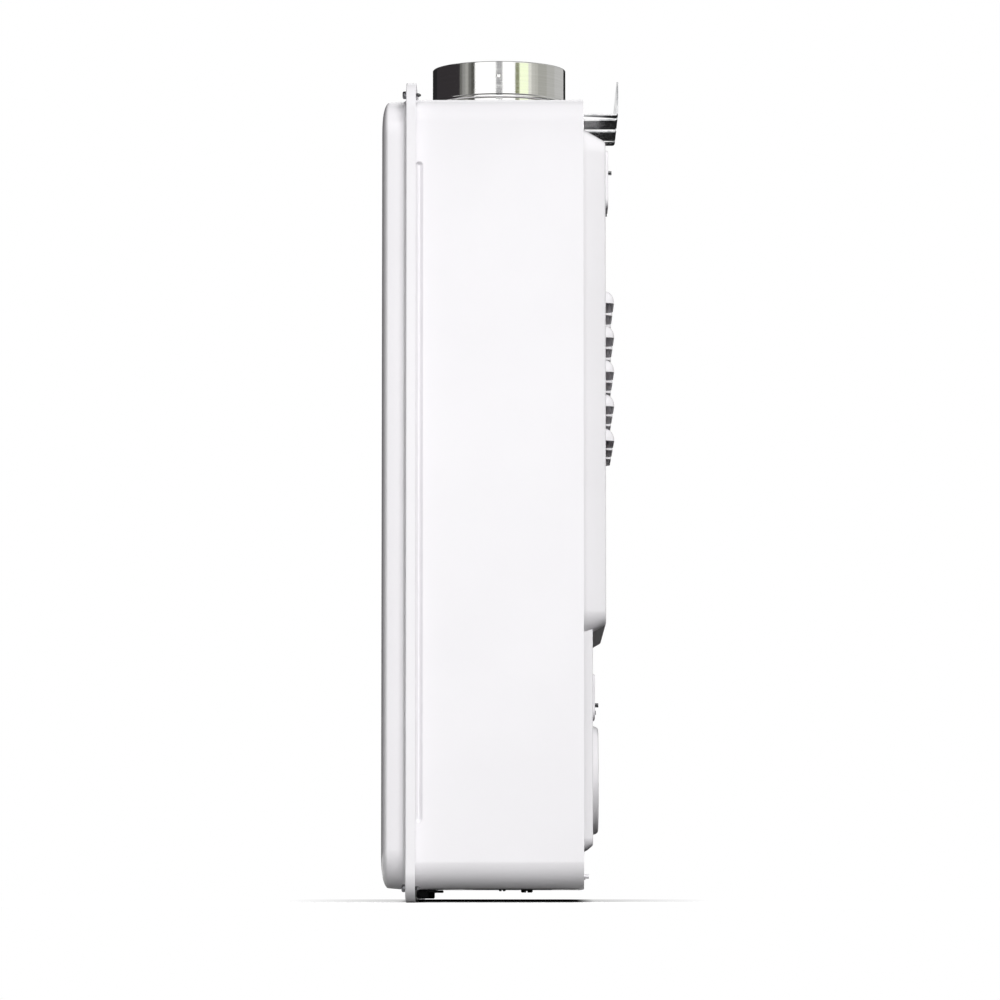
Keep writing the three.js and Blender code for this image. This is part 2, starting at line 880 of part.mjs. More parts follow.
const flueCentre = [0, chamberMiddle];
const collarWallX = collarRadius + fit;

function flueCollar() {
  const bore = collarRadius - sheet;
  const beadMiddle = casingTop + collarBeadHeight;
  const [beadFoot, beadTop] = span(beadMiddle, collarBeadWidth);
  const [beadLow, beadHigh] = span(beadMiddle, collarBeadWidth / 2);
  const profile = [
    [bore, collarFoot],
    [collarRadius, collarFoot],
    [collarRadius, collarFlangeFoot],
    [collarRadius + collarFlange, collarFlangeFoot],
    [collarRadius + collarFlange, collarFlangeFoot + sheet],
    [collarRadius, collarFlangeFoot + sheet],
    [collarRadius, beadFoot],
    [collarRadius + collarBeadRise, beadLow],
    [collarRadius + collarBeadRise, beadHigh],
    [collarRadius, beadTop],
    [collarRadius, collarTop - collarEdge],
    [collarRadius - collarEdge, collarTop],
    [bore, collarTop],
    [bore, collarFoot],
  ];
  const shell = turned("z", profile, flueCentre, collarSides);
  const rivetPlace = [chamberMiddle, casingTop + rivetHeight];
  return cut(shell, rod("x", rivetShankRadius + fit, 0, collarRadius + overrun, rivetPlace, smallSides));
}

function collarRivet() {
  const backFace = collarRadius - sheet - 2 * fit;
  const profile = [
    [0, backFace - rivetHeadHeight],
    [rivetBackRadius, backFace - rivetHeadHeight],
    [rivetBackRadius, backFace],
    [rivetShankRadius, backFace],
    [rivetShankRadius, collarWallX],
    [rivetHeadRadius, collarWallX],
    [rivetHeadRadius / 2, collarWallX + rivetHeadHeight],
    [0, collarWallX + rivetHeadHeight],
  ];
  return turned("x", profile, [chamberMiddle, casingTop + rivetHeight]);
}

function collarGasketRing() {
  const foot = casingTop + fit;
  return sleeve("z", collarRadius + collarFlange, collarRadius + collarHoleGap, foot, foot + collarGasket,
    flueCentre, collarSides);
}

function flueSeal() {
  const foot = casingTop - neckLap;
  return sleeve("z", collarRadius - sheet - fit, neckRadius + fit, foot, foot + sealHeight,
    flueCentre, collarSides);
}

function chamberSlab(inset, from, to) {
  const outline = insetRectangle(chamberWidth, chamberDepth, chamberRadius, flueCentre, inset,
    plateCornerSteps);
  return prism("z", outline, from, to);
}

function flueHood() {
  const section = (at, width, depth, inset) => ({
    at,
    outline: insetRectangle(width, depth, hoodRadius, flueCentre, inset, plateCornerSteps),
  });
  const topWidth = chamberWidth - hoodTaper;
  const topDepth = 2 * (neckRadius + neckShelf);
  const outer = loft("z", [
    section(hoodFoot, chamberWidth, chamberDepth, 0),
    section(hoodTop, topWidth, topDepth, 0),
  ]);
  const inner = loft("z", [
    section(hoodFoot - overrun, chamberWidth, chamberDepth, sheet),
    section(hoodTop - sheet, topWidth, topDepth, sheet),
  ]);
  const flange = chamberSlab(-chamberFlange, hoodFoot, hoodFoot + sheet);
  const neckBore = neckRadius - sheet;
  const neckTop = hoodTop + neckHeight - fit;
  const neck = rod("z", neckRadius, hoodTop - sheet, neckTop, flueCentre, collarSides);
  const bore = rod("z", neckBore, hoodTop - sheet - overrun, neckTop + overrun, flueCentre, collarSides);
  return cut(join(outer, flange, neck), inner, bore);
}

// Heat exchanger

const tubeRows = Array.from({ length: tubeCount }, (_, i) =>
  chamberMiddle + ((tubeCount - 1) / 2 - i) * tubePitch);

function jacket() {
  const outer = join(
    chamberSlab(0, jacketFoot, jacketTop),
    chamberSlab(-chamberFlange, jacketFoot, jacketFoot + sheet),
    chamberSlab(-chamberFlange, jacketTop - sheet, jacketTop),
  );
  const inner = chamberSlab(sheet, jacketFoot - overrun, jacketTop + overrun);
  const reach = chamberWidth / 2 + overrun;
  const tubeHoles = tubeRows.map((y) =>
    rod("x", tubeRadius + fit, -reach, reach, [y, tubeLevel], smallSides));
  const electrodeHole = rod("y", electrodeRadius + fit, chamberFront - overrun, chamberMiddle,
    [-electrodeOffset, jacketFoot + electrodeHeight], smallSides);
  return cut(outer, inner, ...tubeHoles, electrodeHole);
}

function serpentine(radius, extra) {
  const corners = [[tubeEnd + extra, tubeRows[0], tubeLevel]];
  const turnX = tubeRun + tubePitch / 2;
  for (let i = 0; i < tubeCount - 1; i += 1) {
    const side = i % 2 === 0 ? -1 : 1;
    corners.push([side * turnX, tubeRows[i], tubeLevel], [side * turnX, tubeRows[i + 1], tubeLevel]);
  }
  corners.push([-tubeEnd - extra, tubeRows[tubeCount - 1], tubeLevel]);
  return pipe(corners, radius, tubeBend);
}

function heatExchangerCore() {
  const finSpan = span(chamberMiddle, chamberDepth - 2 * (sheet + finGap));
  const fins = Array.from({ length: finCount }, (_, i) => {
    const x = (i / (finCount - 1) - 1 / 2) * finSpread;
    return box(span(x, finThickness), finSpan, span(tubeLevel, finHeight));
  });
  return cut(join(serpentine(tubeRadius, 0), ...fins), serpentine(tubeRadius - tubeWall, overrun));
}

// Burner

const manifoldBack = chamberFront - manifoldStandOff;
const manifoldLevel = burnerBoxFoot + manifoldHeight;
const burnerPlaces = Array.from({ length: burnerCount }, (_, i) => (i - (burnerCount - 1) / 2) * burnerPitch);
const ductLeft = fanAcross + fanTongueReach;
const ductRight = fanAcross + fanOuterRadius;
const fanBack = -fanFront + fanWidth;

function burnerBox() {
  const outer = join(
    chamberSlab(0, burnerBoxFoot, burnerBoxTop),
    chamberSlab(-chamberFlange, burnerBoxTop - sheet, burnerBoxTop),
  );
  const inner = chamberSlab(sheet, burnerBoxFoot + sheet, burnerBoxTop + overrun);
  const ductHole = box([ductLeft + sheet, ductRight - sheet], [-fanFront + sheet, fanBack - sheet],
    [burnerBoxFoot - overrun, burnerBoxFoot + sheet + overrun]);
  const nozzleHoles = burnerPlaces.map((x) =>
    rod("y", nozzleRadius + fit, chamberFront - overrun, chamberFront + sheet + overrun,
      [x, manifoldLevel], smallSides));
  return cut(outer, inner, ductHole, ...nozzleHoles);
}

function burnerRack() {
  const seat = burnerBoxFoot + burnerSeat;
  const blades = burnerPlaces.map((x) =>
    box(span(x, burnerThickness), span(chamberMiddle, burnerLength), [seat, seat + burnerHeight]));
  const slots = burnerPlaces.map((x) =>
    box(span(x, burnerSlot), span(chamberMiddle, burnerLength - 2 * burnerThickness),
      [seat + burnerHeight - overrun, seat + burnerHeight + overrun]));
  const rails = span(chamberMiddle, railSpacing).map((y) =>
    box(span(0, chamberWidth - 2 * (sheet + fit)), span(y, railWidth), [seat - railHeight, seat + fit]));
  return cut(join(...blades, ...rails), ...slots);
}

function gasManifold() {
  const front = manifoldBack - manifoldSize;
  const bar = box(span(0, manifoldLength), [front, manifoldBack], span(manifoldLevel, manifoldSize));
  const nozzles = burnerPlaces.map((x) =>
    rod("y", nozzleRadius, manifoldBack - fit, manifoldBack + nozzleReach, [x, manifoldLevel], smallSides));
  const earMiddle = manifoldLength / 2 - earWidth / 2;
  const ears = [-earMiddle, earMiddle].map((x) =>
    box(span(x, earWidth), [manifoldBack - fit, chamberFront - fit], span(manifoldLevel, manifoldSize)));
  const middle = [(front + manifoldBack) / 2, manifoldLevel];
  const bore = rod("x", manifoldBore, manifoldLength / 2 - overrun, -manifoldLength / 2 - overrun,
    middle, smallSides);
  const inlet = rod("z", manifoldBore, manifoldLevel - manifoldSize, manifoldLevel,
    [gasOutletX, (front + manifoldBack) / 2], smallSides);
  return cut(join(bar, ...nozzles, ...ears), bore, inlet);
}

// Spark electrode, lead, ignition unit and overheat switch

const electrodePlace = [-electrodeOffset, jacketFoot + electrodeHeight];
const electrodeFront = chamberFront - fit - electrodeLength / 2;
const ignitionFace = casingFront + ignitionSetBack;
const ignitionX = -sideWall + fit + leadInset;
const leadLevel = ignitionBase + ignitionHeight / 2;

function sparkElectrode() {
  const flangeBack = chamberFront - fit;
  const tip = electrodeFront + electrodeLength;
  const profile = [
    [0, electrodeFront],
    [electrodeRadius, electrodeFront],
    [electrodeRadius, flangeBack - electrodeFlangeHeight],
    [electrodeFlangeRadius, flangeBack - electrodeFlangeHeight],
    [electrodeFlangeRadius, flangeBack],
    [electrodeRadius, flangeBack],
    [electrodeRadius, tip],
    [electrodeRod, tip],
    [electrodeRod, tip + electrodeRodLength],
    [0, tip + electrodeRodLength],
  ];
  return turned("y", profile, electrodePlace);
}

function ignitionLead() {
  const front = electrodeFront - leadReach;
  const corners = [
    [electrodePlace[0], electrodeFront - fit, electrodePlace[1]],
    [electrodePlace[0], front, electrodePlace[1]],
    [ignitionX, front, leadLevel],
    [ignitionX, ignitionFace - fit, leadLevel],
  ];
  return pipe(corners, leadRadius, leadBend);
}

function ignitionUnit() {
  const wall = -sideWall + fit;
  return box([wall, wall + ignitionWidth], [ignitionFace, ignitionFace + ignitionDepth],
    [ignitionBase, ignitionBase + ignitionHeight]);
}

function overheatSwitch() {
  const face = -chamberWidth / 2 - fit;
  const profile = [
    [0, face],
    [switchRadius, face],
    [switchRadius, face - switchBase],
    [switchRadius / 2, face - switchBase],
    [switchRadius / 2, face - switchHeight],
    [0, face - switchHeight],
  ];
  return turned("x", profile, [chamberMiddle, jacketFoot + switchLevel]);
}

// Fan

const fanCentre = [fanAcross, fanHeight];
const fanTop = burnerBoxFoot - fit;

function scroll(inset, top) {
  const start = (fanTongueAngle * Math.PI) / 180;
  const end = 2 * Math.PI;
  const points = [[ductLeft + inset, top]];
  for (let step = 0; step <= fanSteps; step += 1) {
    const share = step / fanSteps;
    const angle = start + (end - start) * share;
    const radius = fanInnerRadius + (fanOuterRadius - fanInnerRadius) * share - inset;
    points.push([fanAcross + radius * Math.cos(angle), fanHeight + radius * Math.sin(angle)]);
  }
  points.push([ductRight - inset, top]);
  return points;
}

function fanHousing() {
  const front = -fanFront;
  const outer = prism("y", scroll(0, fanTop), front, fanBack);
  const inner = prism("y", scroll(sheet, fanTop + overrun), front + sheet, fanBack - sheet);
  const flange = box([ductLeft - fanFlange, ductRight + fanFlange], [front - fanFlange, fanBack + fanFlange],
    [fanTop - sheet, fanTop]);
  const inlet = rod("y", fanInletRadius, fanBack - sheet - overrun, fanBack + overrun, fanCentre);
  const shaftHole = rod("y", hubRadius, front - overrun, front + sheet + overrun, fanCentre);
  return cut(join(outer, flange), inner, inlet, shaftHole);
}

const impellerFront = -fanFront + sheet + runningGap + sheet;

function fanImpeller() {
  const back = impellerFront + impellerWidth;
  const disc = rod("y", impellerRadius, impellerFront, impellerFront + impellerSheet,
    fanCentre, 2 * roundSides);
  const ring = sleeve("y", impellerRadius, impellerRadius - impellerRing, back - impellerSheet, back,
    fanCentre, 2 * roundSides);
  const hub = rod("y", hubRadius - runningGap, impellerFront, impellerFront + hubLength, fanCentre);
  const blades = Array.from({ length: bladeCount }, (_, i) => {
    const angle = (2 * Math.PI * i) / bladeCount;
    const inner = impellerRadius - impellerBlade;
    const blade = new THREE.BoxGeometry(
      impellerBlade - runningGap,
      impellerWidth - impellerSheet,
      impellerSheet,
    );
    blade.translate(inner + impellerBlade / 2 - runningGap, impellerFront + impellerWidth / 2, 0);
    blade.rotateY(angle);
    blade.translate(fanAcross, 0, fanHeight);
    return solidOf(blade);
  });
  const bore = rod("y", shaftRadius + fit, impellerFront - overrun, back, fanCentre);
  return cut(join(disc, ring, hub, ...blades), bore);
}

const motorBack = -fanFront - fit;
const motorFront = motorBack - motorLength;

function fanMotor() {
  const profile = [
    [shaftRadius + fit, motorBack],
    [motorFlangeRadius, motorBack],
    [motorFlangeRadius, motorBack - motorFlangeHeight],
    [motorRadius, motorBack - motorFlangeHeight],
    [motorRadius, motorFront],
    [0, motorFront],
    [0, motorFront + motorBackWall],
    [shaftRadius + fit, motorFront + motorBackWall],
    [shaftRadius + fit, motorBack],
  ];
  return turned("y", profile, fanCentre);
}

function motorShaft() {
  return rod("y", shaftRadius, motorFront + motorBackWall + runningGap, impellerFront + hubLength, fanCentre);
}

function fanBracket() {
  const wallSpan = [lowerInner - fit - sheet, lowerInner - fit];
  const zSpan = [fanBracketBase, fanBracketBase + fanBracketHeight];
  const wallPlate = box(span(0, fanBracketWidth), wallSpan, zSpan);
  const armFront = fanBack + fit;
  const armSpan = span(fanAcross, fanBracketArm);
  const shelf = box(armSpan, [armFront, wallSpan[1]], [zSpan[0], zSpan[0] + sheet]);
  const plate = box(armSpan, [armFront, armFront + sheet], zSpan);
  const rearStuds = studs(lowerStudSpacing, lowerStudHeight, wallSpan[0], lowerFace + bossRise);
  return join(wallPlate, shelf, plate, ...rearStuds);
}

function studs(spacing, level, from, face) {
  const places = span(0, spacing).map((x) => [x, level]);
  return places.map((place) => rod("y", studRadius, from, face + studTip, place, smallSides));
}

function chamberRail() {
  const wallSpan = [upperInner - fit - sheet, upperInner - fit];
  const foot = jacketTop - sheet - fit - sheet;
  const plate = box(span(0, railPlateWidth), wallSpan, [foot, upperStudHeight + railPlateRise]);
  const lip = box(span(0, chamberWidth - 2 * chamberRadius), [chamberBack + fit, wallSpan[1]],
    [foot, foot + sheet]);
  return join(plate, lip, ...studs(upperStudSpacing, upperStudHeight, wallSpan[0], upperFace + bossRise));
}

// Connection pan and fittings

const coldPlace = [fittingAcross, panMiddle];
const hotPlace = [-fittingAcross, panMiddle];
const gasPlace = [gasAcross, panMiddle];
const filterPlace = [plugAcross, -filterCentre];
const drainPlace = [-plugAcross, -drainCentre];
const glandPlace = [glandAcross, panMiddle];

function connectionPlate() {
  const [from, to] = [panPlate - overrun, panTop + overrun];
  const rim = box(span(0, panWidth + 2 * panRim), span(panMiddle, panDepth + 2 * panRim),
    [panFloor, panFloor + sheet]);
  const pan = box(span(0, panWidth + 2 * sheet), span(panMiddle, panDepth + 2 * sheet), [panFloor, panTop]);
  const recess = box(span(0, panWidth), span(panMiddle, panDepth), [panFloor - overrun, panPlate]);
  const holes = [
    ...[coldPlace, hotPlace, gasPlace].map((place) => rod("z", fittingRadius + fit, from, to, place)),
    ...[filterPlace, drainPlace].map((place) => rod("z", plugSpigot + fit, from, to, place)),
    rod("z", glandRadius + fit, from, to, glandPlace),
  ];
  return cut(join(rim, pan), recess, ...holes);
}

function pipeFitting(place) {
  const seat = panTop + fit;
  const profile = [
    [fittingBore, casingBottom + fittingFoot],
    [fittingRadius, casingBottom + fittingFoot],
    [fittingRadius, seat],
    [fittingFlangeRadius, seat],
    [fittingFlangeRadius, seat + fittingFlangeHeight],
    [fittingSpigot, seat + fittingFlangeHeight],
    [fittingSpigot, fittingTop],
    [fittingBore, fittingTop],
    [fittingBore, casingBottom + fittingFoot],
  ];
  return turned("z", profile, place);
}

function plug(place, tip, drop) {
  const foot = casingBottom - drop;
  const collarTopLevel = panPlate - fit;
  const profile = [
    [0, foot],
    [tip, foot],
    [tip, foot + plugTipHeight],
    [plugGrip, foot + plugTipHeight],
    [plugGrip, collarTopLevel - plugCollarHeight],
    [plugCollar, collarTopLevel - plugCollarHeight],
    [plugCollar, collarTopLevel],
    [plugSpigot, collarTopLevel],
    [plugSpigot, collarTopLevel + plugSpigotHeight],
    [0, collarTopLevel + plugSpigotHeight],
  ];
  return turned("z", profile, place);
}

function cableGland() {
  const seat = panTop + fit;
  const domeTop = panPlate - fit;
  const profile = [
    [glandBore, domeTop - glandDome],
    [glandRadius, domeTop - glandDome],
    [glandNut, domeTop - glandNutHeight],
    [glandNut, domeTop],
    [glandRadius, domeTop],
    [glandRadius, seat],
    [glandNut, seat],
    [glandNut, seat + glandNutHeight],
    [glandBore, seat + glandNutHeight],
    [glandBore, domeTop - glandDome],
  ];
  return turned("z", profile, glandPlace);
}

// Water side

function valveBlockBody(place, pocketPlace, portSide) {
  const pocketFoot = panTop + fit;
  const bridgeFoot = bodyFoot + bodyBridgeLift;
  const bridgeSpan = [bridgeFoot, bridgeFoot + bodyBridge];
  const bridgeLevel = bridgeFoot + bodyBridge / 2;
  const alongX = [place[0], pocketPlace[0]].sort((a, b) => a - b);
  const bridgeY = (place[1] + pocketPlace[1]) / 2;
  const outer = [
    rod("z", bodyRadius, bodyFoot, bodyTop, place),
    rod("z", pocketRadius, pocketFoot, bodyTop, pocketPlace),
    box(alongX, span(bridgeY, bodyBridge), bridgeSpan),
  ];
  const bores = [
    rod("z", fittingBore, bodyFoot - overrun, bodyTop + overrun, place),
    rod("z", plugSpigot + fit, pocketFoot - overrun, bodyTop - pocketTopWall, pocketPlace),
    rod("x", bodyPassage, ...alongX, [bridgeY, bridgeLevel], smallSides),
  ];
  if (portSide) {
    const portEnd = place[1] + bodyRadius + bypassPortReach;
    outer.push(rod("y", bypassPortRadius, place[1], portEnd, [place[0], bypassLevel]));
    bores.push(rod("y", bypassRadius - pipeWall, place[1], portEnd + overrun,
      [place[0], bypassLevel], smallSides));
  }
  return cut(join(...outer), ...bores);
}

function inletFilter() {
  const foot = panPlate + plugSpigotHeight;
  return sleeve("z", filterRadius, filterRadius - filterWall, foot, foot + filterLength, filterPlace);
}

const rotorFoot = sensorFoot + spiderInset + spiderHeight + runningGap;
const rotorTop = sensorTop - spiderInset - spiderHeight - runningGap;

function flowSensorBody() {
  const tube = sleeve("z", sensorRadius, sensorBore, sensorFoot, sensorTop, coldPlace);
  const spiderFeet = [sensorFoot + spiderInset, sensorTop - spiderInset - spiderHeight];
  const bars = spiderFeet.flatMap((foot) => [
    box(span(fittingAcross, 2 * sensorBore + sheet), span(panMiddle, spiderWidth),
      [foot, foot + spiderHeight]),
    rod("z", spiderHub, foot, foot + spiderHeight, coldPlace, smallSides),
  ]);
  const pickupBack = panMiddle - sensorRadius + sheet;
  const pickup = box(span(fittingAcross, pickupWidth), [pickupBack - pickupDepth, pickupBack],
    span((sensorFoot + sensorTop) / 2, pickupHeight));
  const axleHole = rod("z", axleRadius + fit, sensorFoot - overrun, sensorTop + overrun,
    coldPlace, smallSides);
  return cut(join(tube, ...bars, pickup), axleHole);
}

function flowRotor() {
  const bladeSpan = [rotorFoot + runningGap, rotorTop - runningGap];
  const axle = rod("z", axleRadius, rotorFoot - runningGap - spiderHeight,
    rotorTop + runningGap + spiderHeight, coldPlace, smallSides);
  const hub = rod("z", spiderHub, rotorFoot, rotorTop, coldPlace, smallSides);
  const blades = [
    box(span(fittingAcross, 2 * rotorRadius), span(panMiddle, rotorBlade), bladeSpan),
    box(span(fittingAcross, rotorBlade), span(panMiddle, 2 * rotorRadius), bladeSpan),
  ];
  return join(axle, hub, ...blades);
}

const valveRear = panMiddle + valveWidth / 2;
const spindleBack = valveRear - spindleWall;
const bypassStart = valveFoot + bypassLift;

function waterValveBody() {
  const block = box(span(fittingAcross, valveWidth), [valveFront, valveRear], [valveFoot, valveTop]);
  const bore = rod("z", valveBore, valveFoot - overrun, valveTop + overrun, coldPlace);
  const spindleBore = rod("y", spindleRadius + fit, valveFront - overrun, spindleBack,
    [fittingAcross, spindleLevel], 2 * roundSides);
  const port = rod("y", bypassRadius - pipeWall, panMiddle, valveRear + overrun,
    [fittingAcross, bypassStart], smallSides);
  return cut(block, bore, spindleBore, port);
}

function valveSpindle() {
  const place = [fittingAcross, spindleLevel];
  const barrel = rod("y", spindleRadius, valveFront + fit, spindleBack - fit, place, 2 * roundSides);
  const stem = rod("y", stemRadius, valveFront - stemLength, valveFront + 2 * fit, place);
  const port = rod("z", spindlePort, spindleLevel - valveBore, spindleLevel + valveBore, coldPlace);
  return cut(join(barrel, stem), port);
}

function valveMotor() {
  const back = valveFront - fit;
  const body = box(span(fittingAcross, servoWidth), [back - servoDepth, back],
    span(spindleLevel, servoWidth));
  const bore = rod("y", stemRadius + fit, back - stemLength, back + overrun, [fittingAcross, spindleLevel]);
  return cut(body, bore);
}

const coldColumn = tubeEnd + pipeRadius + pipeOffset;
const pipeBore = pipeRadius - pipeWall;

function coldPipe() {
  const [endX, endY] = [tubeEnd + fit, tubeRows[0]];
  return pipe([
    [...coldPlace, valveTop + fit],
    [...coldPlace, valveTop + coldRise],
    [coldColumn, endY, valveTop + coldRise + coldShift],
    [coldColumn, endY, tubeLevel],
    [endX, endY, tubeLevel],
  ], pipeRadius, pipeBend, pipeBore);
}

function hotPipe() {
  const endY = tubeRows[tubeCount - 1];
  return pipe([
    [-tubeEnd - fit, endY, tubeLevel],
    [-coldColumn, endY, tubeLevel],
    [-coldColumn, endY, bodyTop + hotDrop],
    [...hotPlace, bodyTop + hotDrop - hotShift],
    [...hotPlace, bodyTop + fit],
  ], pipeRadius, pipeBend, pipeBore);
}

function bypassPipe() {
  const startY = valveRear + fit;
  const endY = panMiddle + bodyRadius + bypassPortReach + fit;
  const runY = valveRear + bypassReach;
  return pipe([
    [fittingAcross, startY, bypassStart],
    [fittingAcross, runY, bypassStart],
    [fittingAcross, runY, bypassLevel],
    [-fittingAcross, runY, bypassLevel],
    [-fittingAcross, endY, bypassLevel],
  ], bypassRadius, bypassBend, bypassRadius - pipeWall);
}

// Gas side

const gasValveMiddle = gasAcross;
const gasValveFoot = fittingTop + fit;
const gasValveTop = gasValveFoot + gasValveHeight;
const coilCentre = gasValveFoot + coilLevel;
const coilPlaces = span(gasValveMiddle, coilSpacing).map((x) => [x, coilCentre]);
const gasOutletX = gasValveMiddle + gasValveWidth / 2 - gasOutletInset;
const gasOutletY = -gasValveFront + gasOutletSetBack;
const coilBack = -gasValveFront - fit;

function gasValve() {
  const front = -gasValveFront;
  const body = box(span(gasValveMiddle, gasValveWidth), [front, front + gasValveDepth],
    [gasValveFoot, gasValveTop]);
  const inlet = rod("z", fittingBore, gasValveFoot - overrun, coilCentre, gasPlace);
  const plungerBores = coilPlaces.map((place) =>
    rod("y", plungerBore, front - overrun, panMiddle, place));
  const gallery = box(span(gasValveMiddle, coilSpacing + chamberBore), span(panMiddle, chamberBore),
    span(coilCentre, chamberBore));
  const outlet = rod("z", gasPipeRadius - pipeWall, gasValveTop - gasOutletDepth, gasValveTop + overrun,
    [gasOutletX, gasOutletY], smallSides);
  return cut(body, inlet, gallery, outlet, ...plungerBores);
}

function solenoidCoil(place) {
  const front = coilBack - coilLength;
  const profile = [
    [plungerBore, coilBack],
    [coilRadius, coilBack],
    [coilRadius, front],
    [0, front],
    [0, front + coilWall],
    [plungerBore, front + coilWall],
    [plungerBore, coilBack],
  ];
  return turned("y", profile, place);
}

function plunger(place) {
  const front = coilBack - coilLength + coilWall + plungerTravel + runningGap;
  return rod("y", plungerRadius, front, front + plungerLength, place);
}

function gasPipe() {
  const manifoldY = manifoldBack - manifoldSize / 2;
  return pipe([
    [gasOutletX, gasOutletY, gasValveTop + fit],
    [gasOutletX, gasOutletY, gasValveTop + gasPipeRise],
    [gasOutletX, manifoldY, gasValveTop + gasPipeRise + gasPipeShift],
    [gasOutletX, manifoldY, manifoldLevel - manifoldSize / 2 - fit],
  ], gasPipeRadius, pipeBend, gasPipeRadius - pipeWall);
}

// Electronics

const caseBack = sideWall - fit;
const caseFace = caseBack - caseThickness;
const caseFront = casingFront + caseSetBack;
const caseCentre = [caseFront + caseDepth / 2, caseBase + caseHeight / 2];
const boardBack = caseBack - sheet - postHeight - fit;

function controlCase() {
  const outline = (inset) =>
    insetRectangle(caseDepth, caseHeight, postRadius, caseCentre, inset, plateCornerSteps);
  const tray = cut(
    prism("x", outline(0), caseFace, caseBack),
    prism("x", outline(sheet), caseFace - overrun, caseBack - sheet),
  );
  const posts = insetCorners().map((place) =>
    rod("x", postRadius, caseBack - sheet - postHeight, caseBack - sheet / 2, place, smallSides));
  return join(tray, ...posts);
}

function insetCorners() {
  const [y, z] = caseCentre;
  const reachY = caseDepth / 2 - postInset;
  const reachZ = caseHeight / 2 - postInset;
  return [z - reachZ, z + reachZ].flatMap((level) => [[y - reachY, level], [y + reachY, level]]);
}

const chipShares = [
  [-0.28, -0.32, 0.24, 0.16, 0.9],
  [0.22, -0.28, 0.2, 0.22, 0.6],
  [0.12, 0.06, 0.42, 0.12, 0.4],
  [-0.26, 0.12, 0.14, 0.2, 0.8],
  [0.2, 0.34, 0.3, 0.1, 0.6],
];

function circuitBoard() {
  const [y, z] = caseCentre;
  const boardDepth = caseDepth - 2 * (sheet + runningGap);
  const boardHeight = caseHeight - 2 * (sheet + runningGap);
  const front = boardBack - boardThickness;
  const room = front - caseFace;
  const board = box([front, boardBack], span(y, boardDepth), span(z, boardHeight));
  const chips = chipShares.map(([shareY, shareZ, depthShare, heightShare, riseShare]) =>
    box([front - room * riseShare, front + boardThickness / 2],
      span(y + shareY * boardDepth, depthShare * boardDepth),
      span(z + shareZ * boardHeight, heightShare * boardHeight)));
  return join(board, ...chips);
}

function transformer() {
  const wall = sideWall - fit;
  const middleY = caseCentre[0];
  const middleZ = transformerBase + transformerHeight / 2;
  const core = box([wall - transformerWidth, wall], span(middleY, transformerDepth),
    span(middleZ, transformerHeight));
  const winding = box([wall - transformerWidth - transformerBulge, wall - transformerBulge],
    span(middleY, transformerDepth - 2 * transformerBulge), span(middleZ, transformerWinding));
  return join(core, winding);
}

// Finishes

const finishes = {
  whitePaint: { color: 0xf2f1f3, roughness: 0.42, metalness: 0 },
  polishedSteel: { color: 0xc9cacb, roughness: 0.12, metalness: 1 },
  zincSteel: { color: 0xb9bcbf, roughness: 0.38, metalness: 1 },
  copper: { color: 0xc4713f, roughness: 0.3, metalness: 1 },
  brass: { color: 0xc8a24c, roughness: 0.32, metalness: 1 },
  aluminium: { color: 0xbfc2c5, roughness: 0.45, metalness: 1 },
  rubber: { color: 0x2a2a2b, roughness: 0.85, metalness: 0 },
  blackPlastic: { color: 0x262729, roughness: 0.55, metalness: 0 },
  greyPlastic: { color: 0xa9abab, roughness: 0.55, metalness: 0 },
  boardGreen: { color: 0x2d6a42, roughness: 0.5, metalness: 0 },
  ceramic: { color: 0xe9e4d8, roughness: 0.35, metalness: 0 },
};

const materials = Object.fromEntries(Object.entries(finishes).map(([name, finish]) =>
  [name, new THREE.MeshStandardMaterial({ name, ...finish })]));

// Assembly, with the origin where the bracket's back meets the wall

const group = new THREE.Group();
const unit = new THREE.Group();
unit.position.z = -mountHeight;
group.add(unit);

function subgroup(pieces) {
  const part = new THREE.Group();
  pieces.forEach(([name, finish, solid]) => {
    const mesh = new THREE.Mesh(geometryOf(solid), materials[finish]);
    mesh.name = name;
    part.add(mesh);
  });
  unit.add(part);
}

const headSeat = coverFace - fit;
const tabSeat = casingBack + fit + bracketSheet + fit;

subgroup([
  ["casing_shell", "whitePaint", casingShell()],
  ["rear_panel", "whitePaint", rearPanel()],
  ["front_cover", "whitePaint", frontCover()],
  ["cover_gasket", "rubber", coverGasket()],
  ...coverScrewPlaces.map((place, i) =>
    [`cover_screw_${i + 1}`, "zincSteel", screw(place, headSeat, screwLength, screwHeadHeight, -1)]),
  ["cover_rest_left", "rubber", coverRest(-1)],
  ["cover_rest_right", "rubber", coverRest(1)],
  ["wall_bracket", "zincSteel", wallBracket()],
  ["bracket_screw_left", "zincSteel", screw(tabScrewPlaces[0], tabSeat, tabScrewLength, tabScrewHead, 1)],
  ["bracket_screw_right", "zincSteel", screw(tabScrewPlaces[1], tabSeat, tabScrewLength, tabScrewHead, 1)],
]);

subgroup([
  ["flue_collar", "polishedSteel", flueCollar()],
  ["collar_rivet", "polishedSteel", collarRivet()],
  ["collar_gasket", "rubber", collarGasketRing()],
  ["flue_seal", "rubber", flueSeal()],
  ["flue_hood", "zincSteel", flueHood()],
  ["heat_exchanger_jacket", "copper", jacket()],
  ["heat_exchanger_core", "copper", heatExchangerCore()],
  ["chamber_rail", "zincSteel", chamberRail()],
  ["burner_box", "zincSteel", burnerBox()],
  ["burner_rack", "polishedSteel", burnerRack()],
  ["spark_electrode", "ceramic", sparkElectrode()],
  ["ignition_lead", "rubber", ignitionLead()],
  ["ignition_unit", "blackPlastic", ignitionUnit()],
  ["overheat_switch", "blackPlastic", overheatSwitch()],
]);

